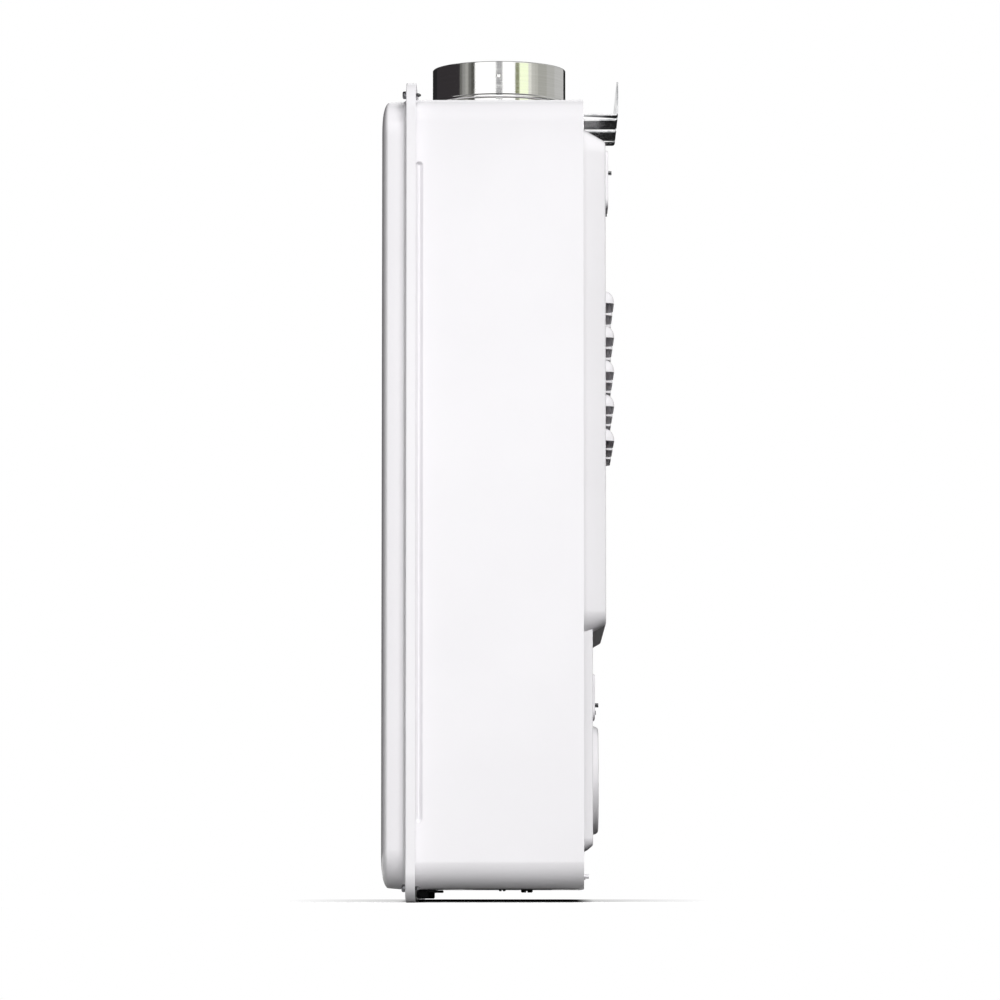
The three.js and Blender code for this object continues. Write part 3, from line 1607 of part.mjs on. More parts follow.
subgroup([
  ["fan_housing", "zincSteel", fanHousing()],
  ["fan_impeller", "aluminium", fanImpeller()],
  ["motor_shaft", "polishedSteel", motorShaft()],
  ["fan_motor", "blackPlastic", fanMotor()],
  ["fan_bracket", "zincSteel", fanBracket()],
]);

subgroup([
  ["gas_manifold", "aluminium", gasManifold()],
  ["gas_pipe", "aluminium", gasPipe()],
  ["gas_valve", "aluminium", gasValve()],
  ["solenoid_coil_1", "blackPlastic", solenoidCoil(coilPlaces[0])],
  ["solenoid_coil_2", "blackPlastic", solenoidCoil(coilPlaces[1])],
  ["safety_plunger", "zincSteel", plunger(coilPlaces[0])],
  ["modulating_plunger", "zincSteel", plunger(coilPlaces[1])],
  ["gas_inlet_fitting", "brass", pipeFitting(gasPlace)],
]);

subgroup([
  ["connection_plate", "zincSteel", connectionPlate()],
  ["cold_inlet_fitting", "brass", pipeFitting(coldPlace)],
  ["hot_outlet_fitting", "brass", pipeFitting(hotPlace)],
  ["filter_plug", "blackPlastic", plug(filterPlace, filterTip, filterTipDrop)],
  ["drain_plug", "blackPlastic", plug(drainPlace, drainTip, drainTipDrop)],
  ["cable_gland", "blackPlastic", cableGland()],
  ["inlet_body", "brass", valveBlockBody(coldPlace, filterPlace, false)],
  ["outlet_body", "brass", valveBlockBody(hotPlace, drainPlace, true)],
  ["inlet_filter", "zincSteel", inletFilter()],
  ["flow_sensor_body", "greyPlastic", flowSensorBody()],
  ["flow_rotor", "blackPlastic", flowRotor()],
  ["water_valve_body", "brass", waterValveBody()],
  ["valve_spindle", "greyPlastic", valveSpindle()],
  ["valve_motor", "blackPlastic", valveMotor()],
  ["cold_pipe", "copper", coldPipe()],
  ["hot_pipe", "copper", hotPipe()],
  ["bypass_pipe", "copper", bypassPipe()],
]);

subgroup([
  ["control_case", "greyPlastic", controlCase()],
  ["circuit_board", "boardGreen", circuitBoard()],
  ["transformer", "zincSteel", transformer()],
]);

export default group;
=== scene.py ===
# %% [markdown]
# # Dressing a wall-hung water heater
#
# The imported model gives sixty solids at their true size: a casing, a dished cover, a pressed rear
# panel, a flue collar and the works inside. This lesson keeps that frame and dresses it. Each
# outside piece is modelled again with smooth bends and rolled edges, and every piece inside keeps
# its solid and gets a real finish.
#
# The first step is to load the frame. Nothing in it is ever moved.

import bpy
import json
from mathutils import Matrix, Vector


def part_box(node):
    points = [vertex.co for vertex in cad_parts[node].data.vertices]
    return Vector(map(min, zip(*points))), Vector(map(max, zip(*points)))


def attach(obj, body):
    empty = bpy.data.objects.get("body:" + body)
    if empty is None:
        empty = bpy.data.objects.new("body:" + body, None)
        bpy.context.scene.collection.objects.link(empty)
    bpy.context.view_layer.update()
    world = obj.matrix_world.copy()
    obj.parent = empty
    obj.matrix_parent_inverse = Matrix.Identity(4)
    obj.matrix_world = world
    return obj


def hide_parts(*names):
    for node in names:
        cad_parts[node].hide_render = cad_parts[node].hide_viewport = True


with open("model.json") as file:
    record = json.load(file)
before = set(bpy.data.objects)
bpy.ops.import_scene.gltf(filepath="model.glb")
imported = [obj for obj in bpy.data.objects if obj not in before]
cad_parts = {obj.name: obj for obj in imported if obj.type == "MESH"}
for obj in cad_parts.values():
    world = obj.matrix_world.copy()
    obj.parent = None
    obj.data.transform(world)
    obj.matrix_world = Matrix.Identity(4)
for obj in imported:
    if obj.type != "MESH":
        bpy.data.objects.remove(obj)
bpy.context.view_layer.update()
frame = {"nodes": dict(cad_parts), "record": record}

import json
import math
import bmesh
import bpy
from mathutils import Matrix, Vector

# %% [markdown]
# ## The camera
#
# The picture was taken from the heater's right-hand side, with the camera at the level of the
# cover's foot and looking up a little. A long lens keeps the casing's near and far edges almost
# in line. The camera comes first, because everything later is judged through it.

# %% Place the camera
COVER_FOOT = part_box("front_cover")[0].z
CAMERA_DISTANCE = 5.061
CAMERA_ALONG = -0.0828
CAMERA_RISE = 0.0023
CAMERA_AIM = Vector((0.0, -0.1115, -0.3699))
LENS = 191.9
SENSOR_WIDTH = 36
VIEW_DEPTH = 100

camera_data = bpy.data.cameras.new("side_camera")
camera_data.lens = LENS
camera_data.sensor_width = SENSOR_WIDTH
camera_data.clip_end = VIEW_DEPTH
camera = bpy.data.objects.new("side_camera", camera_data)
bpy.context.scene.collection.objects.link(camera)
camera.location = (CAMERA_DISTANCE, CAMERA_ALONG, COVER_FOOT + CAMERA_RISE)
camera.rotation_euler = (CAMERA_AIM - camera.location).to_track_quat("-Z", "Y").to_euler()
bpy.context.scene.camera = camera
print("camera at", tuple(round(v, 4) for v in camera.location))

# %% [markdown]
# ## Working in millimetres
#
# Sheet metal is drawn in millimetres, with heights counted from the cover's foot. Every piece is
# modelled that way, and one matrix then carries the finished mesh into the frame, so the object
# itself stays at the origin, unturned and unscaled. An outline is a width, a height, a corner
# radius and a middle.

# %% Units and shared measures
MM = 0.001
TO_FRAME = Matrix.Translation((0, 0, COVER_FOOT)) @ Matrix.Scale(MM, 4)
SHEET = 1.2
CORNER_STEPS = 10
ROUND_STEPS = 96
LEAST_RADIUS = 0.8
SHARP_ANGLE = math.radians(32)
MERGE_DISTANCE = 0.001
NEAR = 0.01

CASING = (448, 724, 25, (0, 374))
SKIRT = (472, 750, 26, (0, 375))
DISH = (448, 724, 36, (0, 374))
CASING_BACK = -34
COVER_FACE = -196
SKIRT_BACK = -187
FLUE = (0, -112.4)
print("cover foot in the frame:", round(COVER_FOOT, 5))


def node_box(node):
    """The low and high corner of a node's box, in millimetres from the cover's foot."""
    return [(corner.x / MM, corner.y / MM, (corner.z - COVER_FOOT) / MM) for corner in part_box(node)]


def node_levels(node):
    """The lowest and highest level of a node."""
    low, high = node_box(node)
    return low[2], high[2]


# %% [markdown]
# ## Lofting sheet metal
#
# Pressed sheet is a stack of rounded rectangles that shrink as they rise. A ring starts as one
# square face whose corners are bevelled, and bridging neighbouring rings makes the skin. All
# rings have the same number of points, so the bridges never twist.

# %% Rings and skins
def shift(bm, vec, verts=None):
    """Moves a bmesh, or some of its points."""
    bmesh.ops.translate(bm, vec=vec, verts=verts or bm.verts)


def rotate(bm, angle, axis, verts=None):
    """Turns a bmesh, or some of its points, about an axis through the origin."""
    matrix = Matrix.Rotation(angle, 3, axis)
    bmesh.ops.rotate(bm, cent=(0, 0, 0), matrix=matrix, verts=verts or bm.verts)


def inset_ring(bm, outline, inset, level, upright=True):
    """Edges of an outline drawn in by inset: upright at Y = level, or lying flat at Z = level."""
    width, height, radius, middle = outline
    width, height = width - 2 * inset, height - 2 * inset
    radius = min(max(radius - inset, LEAST_RADIUS), 0.49 * min(width, height))
    old_faces = set(bm.faces)
    corners = bmesh.ops.create_grid(bm, x_segments=1, y_segments=1, size=0.5)["verts"]
    bmesh.ops.scale(bm, vec=(width, height, 1), verts=corners)
    bmesh.ops.bevel(bm, geom=corners, offset=radius, offset_type="OFFSET", segments=CORNER_STEPS,
                    profile=0.5, affect="VERTICES", material=-1)
    face = next(f for f in bm.faces if f not in old_faces)
    edges, verts = list(face.edges), list(face.verts)
    if upright:
        rotate(bm, math.radians(90), "X", verts)
        shift(bm, (middle[0], level, middle[1]), verts)
    else:
        shift(bm, (*middle, level), verts)
    bmesh.ops.delete(bm, geom=[face], context="FACES_ONLY")
    return edges


def skin(bm, rings, closed=False, capped=()):
    """Bridges the rings in order; closed joins the last to the first, capped fills the ends named."""
    following = rings[1:] + (rings[:1] if closed else [])
    for near, far in zip(rings, following):
        bmesh.ops.bridge_loops(bm, edges=near + far)
    for end in capped:
        bmesh.ops.edgeloop_fill(bm, edges=rings[end])
    bmesh.ops.recalc_face_normals(bm, faces=bm.faces)


def bend(middle, radii, start, end, steps):
    """Points of a bend about its middle, from start to end in degrees; a radius may be negative."""
    angles = [math.radians(start + (end - start) * step / steps) for step in range(steps + 1)]
    return [(middle[0] + radii[0] * math.cos(a), middle[1] + radii[1] * math.sin(a)) for a in angles]


# %% [markdown]
# ## From a bmesh to a finished piece
#
# A finished piece is smooth across its bends and crisp at its folds. Weighted normals keep the big
# flat walls flat beside the small bends. Cutting and welding use exact booleans, whose tools are
# thrown away once they have done their work.

# %% Finish, cut and weld
def raw_piece(name, bm):
    """A bmesh as an object, still in millimetres."""
    mesh = bpy.data.meshes.new(name)
    bm.to_mesh(mesh)
    bm.free()
    piece = bpy.data.objects.new(name, mesh)
    bpy.context.scene.collection.objects.link(piece)
    return piece


def loft(name, section, upright=True, closed=False, capped=()):
    """A raw piece lofted through (outline, inset, level) rings; lying rings give faces turned up."""
    bm = bmesh.new()
    skin(bm, [inset_ring(bm, *entry, upright=upright) for entry in section], closed, capped)
    if not upright and sum(face.normal.z * face.calc_area() for face in bm.faces) < 0:
        bmesh.ops.reverse_faces(bm, faces=bm.faces)
    return raw_piece(name, bm)


def modify(piece, kind, **settings):
    """Puts one modifier's result into the piece's mesh."""
    change = piece.modifiers.new(kind, kind)
    for label, value in settings.items():
        setattr(change, label, value)
    graph = bpy.context.evaluated_depsgraph_get()
    settled = bpy.data.meshes.new_from_object(piece.evaluated_get(graph))
    old = piece.data
    piece.modifiers.clear()
    piece.data = settled
    bpy.data.meshes.remove(old)


def combine(piece, tool, operation):
    """Cuts the tool out of the piece, or welds it on."""
    modify(piece, "BOOLEAN", operation=operation, solver="EXACT", object=tool)
    bpy.data.objects.remove(tool)


def cut(piece, bm):
    """Cuts a bmesh form out of the piece."""
    combine(piece, raw_piece("cutter", bm), "DIFFERENCE")


def weld(piece, bm):
    """Welds a bmesh form onto the piece."""
    combine(piece, raw_piece("addition", bm), "UNION")


def solidify(piece, thickness, offset=-1):
    """Gives an open skin its sheet thickness."""
    modify(piece, "SOLIDIFY", thickness=thickness, offset=offset, use_even_offset=True)


def soften_edges(piece, width, segments=2):
    """Takes the sharp arris off a solid."""
    modify(piece, "BEVEL", width=width, segments=segments, limit_method="ANGLE",
           angle_limit=SHARP_ANGLE)


def finish_piece(piece, slot, *nodes, material=None, sharp=SHARP_ANGLE):
    """Carries a piece into the frame and gives it its normals, finish, body and nodes."""
    mesh = piece.data
    mesh.transform(TO_FRAME)
    bm = bmesh.new()
    bm.from_mesh(mesh)
    bmesh.ops.remove_doubles(bm, verts=bm.verts, dist=2 * MERGE_DISTANCE * MM)
    bmesh.ops.dissolve_degenerate(bm, edges=bm.edges, dist=MERGE_DISTANCE * MM)
    for face in bm.faces:
        face.smooth = True
    for edge in bm.edges:
        edge.smooth = len(edge.link_faces) == 2 and edge.calc_face_angle(math.pi) < sharp
    bm.to_mesh(mesh)
    bm.free()
    modify(piece, "WEIGHTED_NORMAL", keep_sharp=True)
    piece.data.materials.clear()
    piece.data.materials.append(material or FINISHES[slot])
    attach(piece, "heater")
    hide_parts(*nodes)
    print(piece.name, "faces:", len(piece.data.polygons))


# %% [markdown]
# ## Turned pieces
#
# A collar, a screw head and a pipe fitting are all turned shapes: half of the outline is drawn once
# and spun about its own axis.

# %% Spin a profile
def turned(profile, axis, middle, steps=ROUND_STEPS, closed=False):
    """A bmesh spun from (radius, level) points about an axis through middle."""
    bm = bmesh.new()
    verts = [bm.verts.new((radius, 0, level)) for radius, level in profile]
    pairs = list(zip(verts, verts[1:])) + ([(verts[-1], verts[0])] if closed else [])
    edges = [bm.edges.new(pair) for pair in pairs]
    bmesh.ops.spin(bm, geom=verts + edges, cent=(0, 0, 0), axis=(0, 0, 1), angle=2 * math.pi,
                   steps=steps, use_merge=True)
    bmesh.ops.remove_doubles(bm, verts=bm.verts, dist=MERGE_DISTANCE)
    bmesh.ops.recalc_face_normals(bm, faces=bm.faces)
    if axis == "Y":
        rotate(bm, math.radians(-90), "X")
    elif axis == "X":
        rotate(bm, math.radians(90), "Y")
    shift(bm, {"Z": (*middle, 0), "Y": (middle[0], 0, middle[1]), "X": (0, *middle)}[axis])
    return bm


def turned_piece(name, profile, axis, middle, steps=ROUND_STEPS, closed=True):
    """A turned form as a raw piece."""
    return raw_piece(name, turned(profile, axis, middle, steps, closed))


def block(low, high):
    """A bmesh box between two corners."""
    bm = bmesh.new()
    bmesh.ops.create_cube(bm, size=1)
    bmesh.ops.scale(bm, vec=[b - a for a, b in zip(low, high)], verts=bm.verts)
    shift(bm, [(a + b) / 2 for a, b in zip(low, high)])
    return bm


def drill(radius, axis, middle, start, end, steps=32):
    """A plain round bar, used to drill or weld."""
    return turned([(0, start), (radius, start), (radius, end), (0, end)], axis, middle, steps)


# %% [markdown]
# ## Shared surface effects
#
# Real finishes vary a little from place to place. Four node groups hold what several finishes
# share: a speckle of two colours, a patchy roughness, a fine relief for a bump, and a mask that
# bares rubbed edges. A group gives out only colours, values and heights, so each material keeps
# its own shader.

# %% Node groups
def feed(tree, node, inputs):
    """Gives each input of a node, named or numbered, a value or another node's socket."""
    for key, value in inputs.items():
        if isinstance(value, bpy.types.NodeSocket):
            tree.links.new(value, node.inputs[key])
        else:
            node.inputs[key].default_value = value


def add_node(tree, kind, inputs, **settings):
    """A new node with its settings and inputs."""
    node = tree.nodes.new("ShaderNode" + kind)
    for label, value in settings.items():
        setattr(node, label, value)
    feed(tree, node, inputs)
    return node


def source(tree, kind, output):
    """One output of a node that has nothing to set."""
    return tree.nodes.new("ShaderNode" + kind).outputs[output]


def noise(tree, vector, scale, detail=3.0):
    """The value of a Noise Texture."""
    inputs = {"Vector": vector, "Scale": scale, "Detail": detail}
    return add_node(tree, "TexNoise", inputs).outputs["Fac"]


def remap(tree, value, low, high, to_low, to_high):
    """The result of a Map Range node."""
    limits = {"From Min": low, "From Max": high, "To Min": to_low, "To Max": to_high}
    return add_node(tree, "MapRange", {"Value": value, **limits}).outputs["Result"]


def combine_numbers(tree, operation, first, second=0.0):
    """The result of a Math node."""
    return add_node(tree, "Math", {0: first, 1: second}, operation=operation).outputs[0]


def mix_colours(tree, factor, first, second):
    """The result of a colour mix."""
    return add_node(tree, "Mix", {0: factor, 6: first, 7: second}, data_type="RGBA").outputs[2]


def new_group(name, output, kind, **inputs):
    """A node group with a Vector and other inputs; returns it, what it is given and its result."""
    group = bpy.data.node_groups.new(name, "ShaderNodeTree")
    group.interface.new_socket("Vector", in_out="INPUT", socket_type="NodeSocketVector")
    for label, value in inputs.items():
        socket_type = "NodeSocketColor" if isinstance(value, tuple) else "NodeSocketFloat"
        socket = group.interface.new_socket(label, in_out="INPUT", socket_type=socket_type)
        socket.default_value = value
    group.interface.new_socket(output, in_out="OUTPUT", socket_type="NodeSocket" + kind)
    given = group.nodes.new("NodeGroupInput").outputs
    return group, given, group.nodes.new("NodeGroupOutput").inputs[output]


WHITE = (1, 1, 1, 1)
speckle, given, result = new_group("speckle", "Color", "Color", Scale=40, First=WHITE, Second=WHITE)
speckle_mask = remap(speckle, noise(speckle, given["Vector"], given["Scale"]), 0.35, 0.65, 0, 1)
speckle.links.new(mix_colours(speckle, speckle_mask, given["First"], given["Second"]), result)

patches, given, result = new_group("patches", "Value", "Float", Scale=12, Least=0.3, Most=0.4)
patches.links.new(remap(patches, noise(patches, given["Vector"], given["Scale"], 5), 0.3, 0.7,
                        given["Least"], given["Most"]), result)

relief, given, result = new_group("relief", "Height", "Float", Scale=900)
relief.links.new(noise(relief, given["Vector"], given["Scale"], 2), result)

rubbed, given, result = new_group("rubbed_edges", "Mask", "Float", Start=0.52, Full=0.6)
pointiness = source(rubbed, "NewGeometry", "Pointiness")
rubbed_edge = remap(rubbed, pointiness, given["Start"], given["Full"], 0, 1)
rubbed_break = remap(rubbed, noise(rubbed, given["Vector"], 60, 4), 0.4, 0.6, 0, 1)
rubbed.links.new(combine_numbers(rubbed, "MULTIPLY", rubbed_edge, rubbed_break), result)
print("node groups:", [group.name for group in bpy.data.node_groups])

# %% [markdown]
# ## Finishes
#
# Each finish starts from the same few parts: two close colours, a roughness range and a fine
# relief, all in Object coordinates, which follow the piece in every view. What is the same all
# over, such as a metal's plain metallic value, is set on the shader itself.

# %% A finish from its values
def colour(red, green, blue):
    """An opaque colour."""
    return (red, green, blue, 1)


def place_group(tree, group, vector, **values):
    """The result of a shared group, placed in a material's tree with its own values."""
    return add_node(tree, "Group", {"Vector": vector, **values}, node_tree=group).outputs[0]


def principled_material(name):
    """A new material with its tree, its Principled shader and its output node."""
    material = bpy.data.materials.new(name)
    material.use_nodes = True
    tree = material.node_tree
    found = [next(node for node in tree.nodes if node.type == kind)
             for kind in ("BSDF_PRINCIPLED", "OUTPUT_MATERIAL")]
    return material, tree, *found


def finish(name, first, second, speckle_scale, rough, rough_scale, relief_scale, relief_depth,
           rough_group=patches, stretch=(1, 1, 1), worn=None, **plain):
    """A Principled finish whose patterns are shared groups with its own values."""
    material, tree, shader, _ = principled_material(name)
    place = source(tree, "TexCoord", "Object")
    vector = add_node(tree, "Mapping", {"Vector": place, "Scale": stretch}).outputs["Vector"]
    shade = place_group(tree, speckle, vector, Scale=speckle_scale, First=colour(*first),
                        Second=colour(*second))
    if worn:
        start, full, bare = worn
        mask = place_group(tree, rubbed, vector, Start=start, Full=full)
        shade = mix_colours(tree, mask, shade, colour(*bare))
    patchy = place_group(tree, rough_group, vector, Scale=rough_scale, Least=rough[0], Most=rough[1])
    height = place_group(tree, relief, vector, Scale=relief_scale)
    bump = add_node(tree, "Bump", {"Distance": relief_depth, "Height": height})
    feed(tree, shader, {"Base Color": shade, "Roughness": patchy, "Normal": bump.outputs["Normal"]})
    feed(tree, shader, {label.replace("_", " "): value for label, value in plain.items()})
    return material


# %% [markdown]
# The casing, cover and rear panel are stove-enamelled sheet steel: nearly white with a trace of
# violet-grey, evenly satin, and with the faint waviness that sprayed enamel keeps when it sets.

# %% White enamel
FINISHES = {}
FINISHES["white_paint"] = finish(
    "white_enamel", (0.925, 0.91, 0.935), (0.955, 0.94, 0.965), 6, (0.3, 0.38), 9,
    420, 0.00004, Coat_Weight=0.9, Coat_Roughness=0.12)

# %% [markdown]
# The collar is polished stainless tube. Polishing on a lathe leaves hair-fine rings round it, so
# the pattern is squeezed in height, and rub marks change the roughness a little.

# %% Polished stainless steel
FINISHES["polished_steel"] = finish(
    "polished_stainless", (0.82, 0.815, 0.8), (0.86, 0.855, 0.845), 14, (0.05, 0.1), 25,
    30, 0.00002, Metallic=1.0, stretch=(1, 1, 60))

# %% [markdown]
# Zinc plating crystallises in flat grains that each catch the light differently. A Voronoi
# pattern gives the grains, each with its own roughness, in a group that stands in for the patches.

# %% Zinc-plated steel
grains, given, result = new_group("grains", "Value", "Float", Scale=160, Least=0.1, Most=0.2)
flakes = add_node(grains, "TexVoronoi", {"Vector": given["Vector"], "Scale": given["Scale"]})
flake = add_node(grains, "SeparateColor", {"Color": flakes.outputs["Color"]}).outputs["Red"]
grains.links.new(remap(grains, flake, 0, 1, given["Least"], given["Most"]), result)

FINISHES["zinc_steel"] = finish(
    "zinc_plate", (0.38, 0.39, 0.4), (0.5, 0.51, 0.52), 50, (0.1, 0.2), 160,
    1500, 0.00002, grains, Metallic=1.0, worn=(0.55, 0.62, (0.8, 0.8, 0.8)))

# %% [markdown]
# The screws are zinc-plated too, under a chromate film that darkens them to a smoky grey.

# %% Dark zinc
dark_zinc = finish(
    "dark_zinc", (0.16, 0.16, 0.17), (0.24, 0.24, 0.25), 90, (0.12, 0.22), 80,
    1500, 0.00001, Metallic=1.0, worn=(0.56, 0.64, (0.5, 0.5, 0.5)))

# %% [markdown]
# The works inside are drawn copper, machined brass and cast aluminium, with stainless burner
# blades, a glazed electrode and moulded plastics. Copper and brass darken unevenly with heat and
# handling, cast aluminium is grainy, and rubber and moulded plastic have a fine dull texture.

# %% Finishes for the other pieces
FINISHES["copper"] = finish(
    "tarnished_copper", (0.72, 0.36, 0.22), (0.5, 0.22, 0.13), 18, (0.22, 0.4), 30,
    700, 0.00003, Metallic=1.0)
FINISHES["brass"] = finish(
    "machined_brass", (0.78, 0.58, 0.27), (0.68, 0.48, 0.2), 30, (0.18, 0.32), 45,
    900, 0.00003, Metallic=1.0, worn=(0.55, 0.62, (0.9, 0.72, 0.38)))
FINISHES["aluminium"] = finish(
    "cast_aluminium", (0.66, 0.67, 0.68), (0.78, 0.79, 0.8), 60, (0.38, 0.55), 70,
    800, 0.00012, Metallic=1.0)
FINISHES["rubber"] = finish(
    "black_rubber", (0.022, 0.022, 0.023), (0.05, 0.05, 0.052), 120, (0.6, 0.85), 90,
    1100, 0.0002, Specular_IOR_Level=0.35)
FINISHES["black_plastic"] = finish(
    "black_plastic", (0.018, 0.018, 0.02), (0.035, 0.035, 0.037), 60, (0.38, 0.52), 50,
    2200, 0.00006, worn=(0.54, 0.62, (0.09, 0.09, 0.09)))
FINISHES["grey_plastic"] = finish(
    "grey_plastic", (0.42, 0.43, 0.43), (0.47, 0.48, 0.48), 40, (0.4, 0.5), 50,
    2000, 0.00005)
FINISHES["circuit_board"] = finish(
    "board_green", (0.012, 0.1, 0.035), (0.02, 0.16, 0.06), 260, (0.2, 0.35), 120,
    900, 0.00004, Coat_Weight=0.3)
FINISHES["ceramic"] = finish(
    "glazed_ceramic", (0.82, 0.79, 0.7), (0.88, 0.85, 0.78), 60, (0.1, 0.2), 60,
    600, 0.00003, Coat_Weight=0.4)

# %% [markdown]
# Every solid that stays takes the finish of its slot in the record, by assignment alone: its mesh
# isn't touched.

# %% Finish the solids that stay
for subpart in frame["record"]["subparts"]:
    node_mesh = frame["nodes"][subpart["node"]].data
    node_mesh.materials.clear()
    node_mesh.materials.append(FINISHES[subpart["material_slot"]])
print("finishes:", len(FINISHES))

# %% [markdown]
# ## The casing
#
# The casing is one sheet bent round all four sides, open at the front and back. Its front edge
# turns outwards as a flange for the cover's gasket. The skin is lofted as a closed ring of sheet.
# Then the flue hole and the opening for the pipe fittings are cut, and a long V-shaped groove is
# pressed into each side wall: a ridge is welded on inside, and the groove is cut into it.

# %% Casing shell
FLANGE_BACK = -190
FLANGE = (468.4, 746.4, 24.2, (0, 375))
BEND = 1.5
FLUE_HOLE_RADIUS = 64.2
FITTING_OPENING = ((-178, -138, 0), (178, -62, 30))

casing = loft("white_casing", [
    (CASING, 0, CASING_BACK), (CASING, 0, FLANGE_BACK + BEND),
    (CASING, -BEND * 0.3, FLANGE_BACK + BEND * 0.3), (CASING, -BEND, FLANGE_BACK),
    (FLANGE, 0, FLANGE_BACK), (FLANGE, 0, FLANGE_BACK - SHEET), (CASING, SHEET, FLANGE_BACK - SHEET),
    (CASING, SHEET, CASING_BACK)], closed=True)
cut(casing, drill(FLUE_HOLE_RADIUS, "Z", FLUE, 700, 760, ROUND_STEPS))
cut(casing, block(*FITTING_OPENING))

BEAD = (7.4, 604, 3.6, (-184.1, 374))
BEAD_SINK = 3.4
BEAD_HALF_ANGLE = math.atan(BEAD_SINK / (BEAD[0] / 2)) / 2
BEAD_SECTION = ((0.1, 0.84), (0.18, 0.81), (0.25, 0.75), (0.87, 0.13), (0.95, 0.06), (1.04, 0.0))
SIDE_WALL = CASING[0] / 2


def bead_form(side, depth, last_level):
    """A long V-shaped form, starting at a depth below a side wall's face, from its deepest line out."""
    bm = bmesh.new()
    rings = []
    for width_share, sink_share in BEAD_SECTION:
        inset = BEAD[0] / 2 * (1 - width_share) - depth * math.tan(BEAD_HALF_ANGLE)
        level = SIDE_WALL - depth - BEAD_SINK * sink_share
        rings.append(inset_ring(bm, BEAD, inset, level, upright=False))
    rings.append(inset_ring(bm, BEAD, inset, last_level, upright=False))
    skin(bm, rings, capped=(0, -1))
    lie_on_side = Matrix(((0, 0, side, 0), (1, 0, 0, 0), (0, 1, 0, 0), (0, 0, 0, 1)))
    bmesh.ops.transform(bm, matrix=lie_on_side, verts=bm.verts)
    bmesh.ops.recalc_face_normals(bm, faces=bm.faces)
    return bm


for side in (-1, 1):
    weld(casing, bead_form(side, SHEET, SIDE_WALL - SHEET / 2))
    cut(casing, bead_form(side, 0, SIDE_WALL + 1))
finish_piece(casing, "white_paint", "casing_shell")

# %% [markdown]
# ## The front cover
#
# The cover is deep-drawn: a skirt that hides the casing's flange, a narrow flat flange, and a
# dish that rises from a small concave bend, runs almost straight, and rolls over into a face with
# a hint of crown, which stops a big panel from drumming. One open skin is lofted along that
# section and then given its sheet thickness.

# %% Front cover
DISH_ROOT = 3.2
DISH_DRAFT = 1.0
ROLL_START = -212.1
ROLL_WIDTH = 22
ROLL_DEPTH = 6.5
CROWN = 0.9
CROWN_INSET = 60
CROWN_STEPS = 4
COVER_SHARP_ANGLE = math.radians(40)

section = [(SKIRT, 0, SKIRT_BACK)]
skirt_middle = (SHEET, COVER_FACE + SHEET)
section += [(SKIRT, *point) for point in bend(skirt_middle, (-SHEET, -SHEET), 0, 90, 4)]
root_middle = (-DISH_ROOT, COVER_FACE - DISH_ROOT)
section += [(DISH, *point) for point in bend(root_middle, (DISH_ROOT, DISH_ROOT), 90, 0, 6)]
section += [(DISH, DISH_DRAFT, ROLL_START)]
crown_start = DISH_DRAFT + ROLL_WIDTH
roll_radii = (-ROLL_WIDTH, -ROLL_DEPTH)
section += [(DISH, *point) for point in bend((crown_start, ROLL_START), roll_radii, 9, 90, 10)]
for step in range(1, CROWN_STEPS + 1):
    level = ROLL_START - ROLL_DEPTH - CROWN * math.sin(math.pi / 2 * step / CROWN_STEPS)
    section.append((DISH, crown_start + CROWN_INSET * step / CROWN_STEPS, level))
cover = loft("dished_cover", section, capped=(-1,))
solidify(cover, SHEET)
finish_piece(cover, "white_paint", "front_cover", sharp=COVER_SHARP_ANGLE)

# %% [markdown]
# ## Screws
#
# A pan head has a rounded rim and a cross recess. The head and the threaded shank are turned in
# one profile, and two tapered blades cut the cross. Four long screws hold the cover, and two short
# ones with flat heads hold the wall bracket's feet to the rear panel.

# %% Cross-recessed screws
THREAD_PITCH = 0.8
THREAD_CREST, THREAD_ROOT = 2.0, 1.65
HEAD_RADIUS = 3.6
FLAT_HEAD_LIMIT = 2
SCREW_STEPS = 40


def recess_blade(top, depth, turn, facing):
    """A blade of the driver, narrower at its tip, crossing a head's top at the given turn."""
    bm = bmesh.new()
    tip = bmesh.ops.create_cube(bm, size=1)["verts"]
    bmesh.ops.scale(bm, vec=(1.2 * HEAD_RADIUS, 2 * depth, 0.75), verts=tip)
    inner = [v for v in tip if v.co.y * facing < 0]
    bmesh.ops.scale(bm, vec=(0.35, 1, 0.8), verts=inner)
    rotate(bm, -facing * turn, "Y")
    shift(bm, top)
    return bm


def screw(name, node, place, seat, length, head_height, facing=-1):
    """A screw at (x, z) whose head sits at Y = seat and faces along facing on the Y axis."""
    radius = HEAD_RADIUS
    if head_height < FLAT_HEAD_LIMIT:
        head = [(0, head_height), (radius - 0.9, head_height), (radius, head_height * 0.4),
                (radius, 0)]
    else:
        head = [(0, head_height), (radius - 1.4, head_height), (radius - 0.7, head_height - 0.25),
                (radius - 0.2, head_height - 0.8), (radius, head_height - 1.5), (radius, 0)]
    shank = [(THREAD_CREST, 0), (THREAD_CREST, -0.9)]
    for turn_index in range(int((length - 3.4) / THREAD_PITCH)):
        level = -1.2 - THREAD_PITCH * turn_index
        shank += [(THREAD_ROOT, level), (THREAD_CREST, level - THREAD_PITCH / 2)]
    shank += [(1.6, 1.6 - length), (0.7, -length), (0, -length)]
    profile = [(r, seat + facing * level) for r, level in head + shank]
    piece = turned_piece(name, profile, "Y", place, SCREW_STEPS, closed=False)
    top = (place[0], seat + facing * head_height, place[1])
    turn = math.radians(20 + 37 * (abs(place[0]) + place[1]) % 90)
    for quarter_turn in (0, math.pi / 2):
        cut(piece, recess_blade(top, min(1.3, head_height * 0.7), turn + quarter_turn, facing))
    finish_piece(piece, "zinc_steel", node, material=dark_zinc)


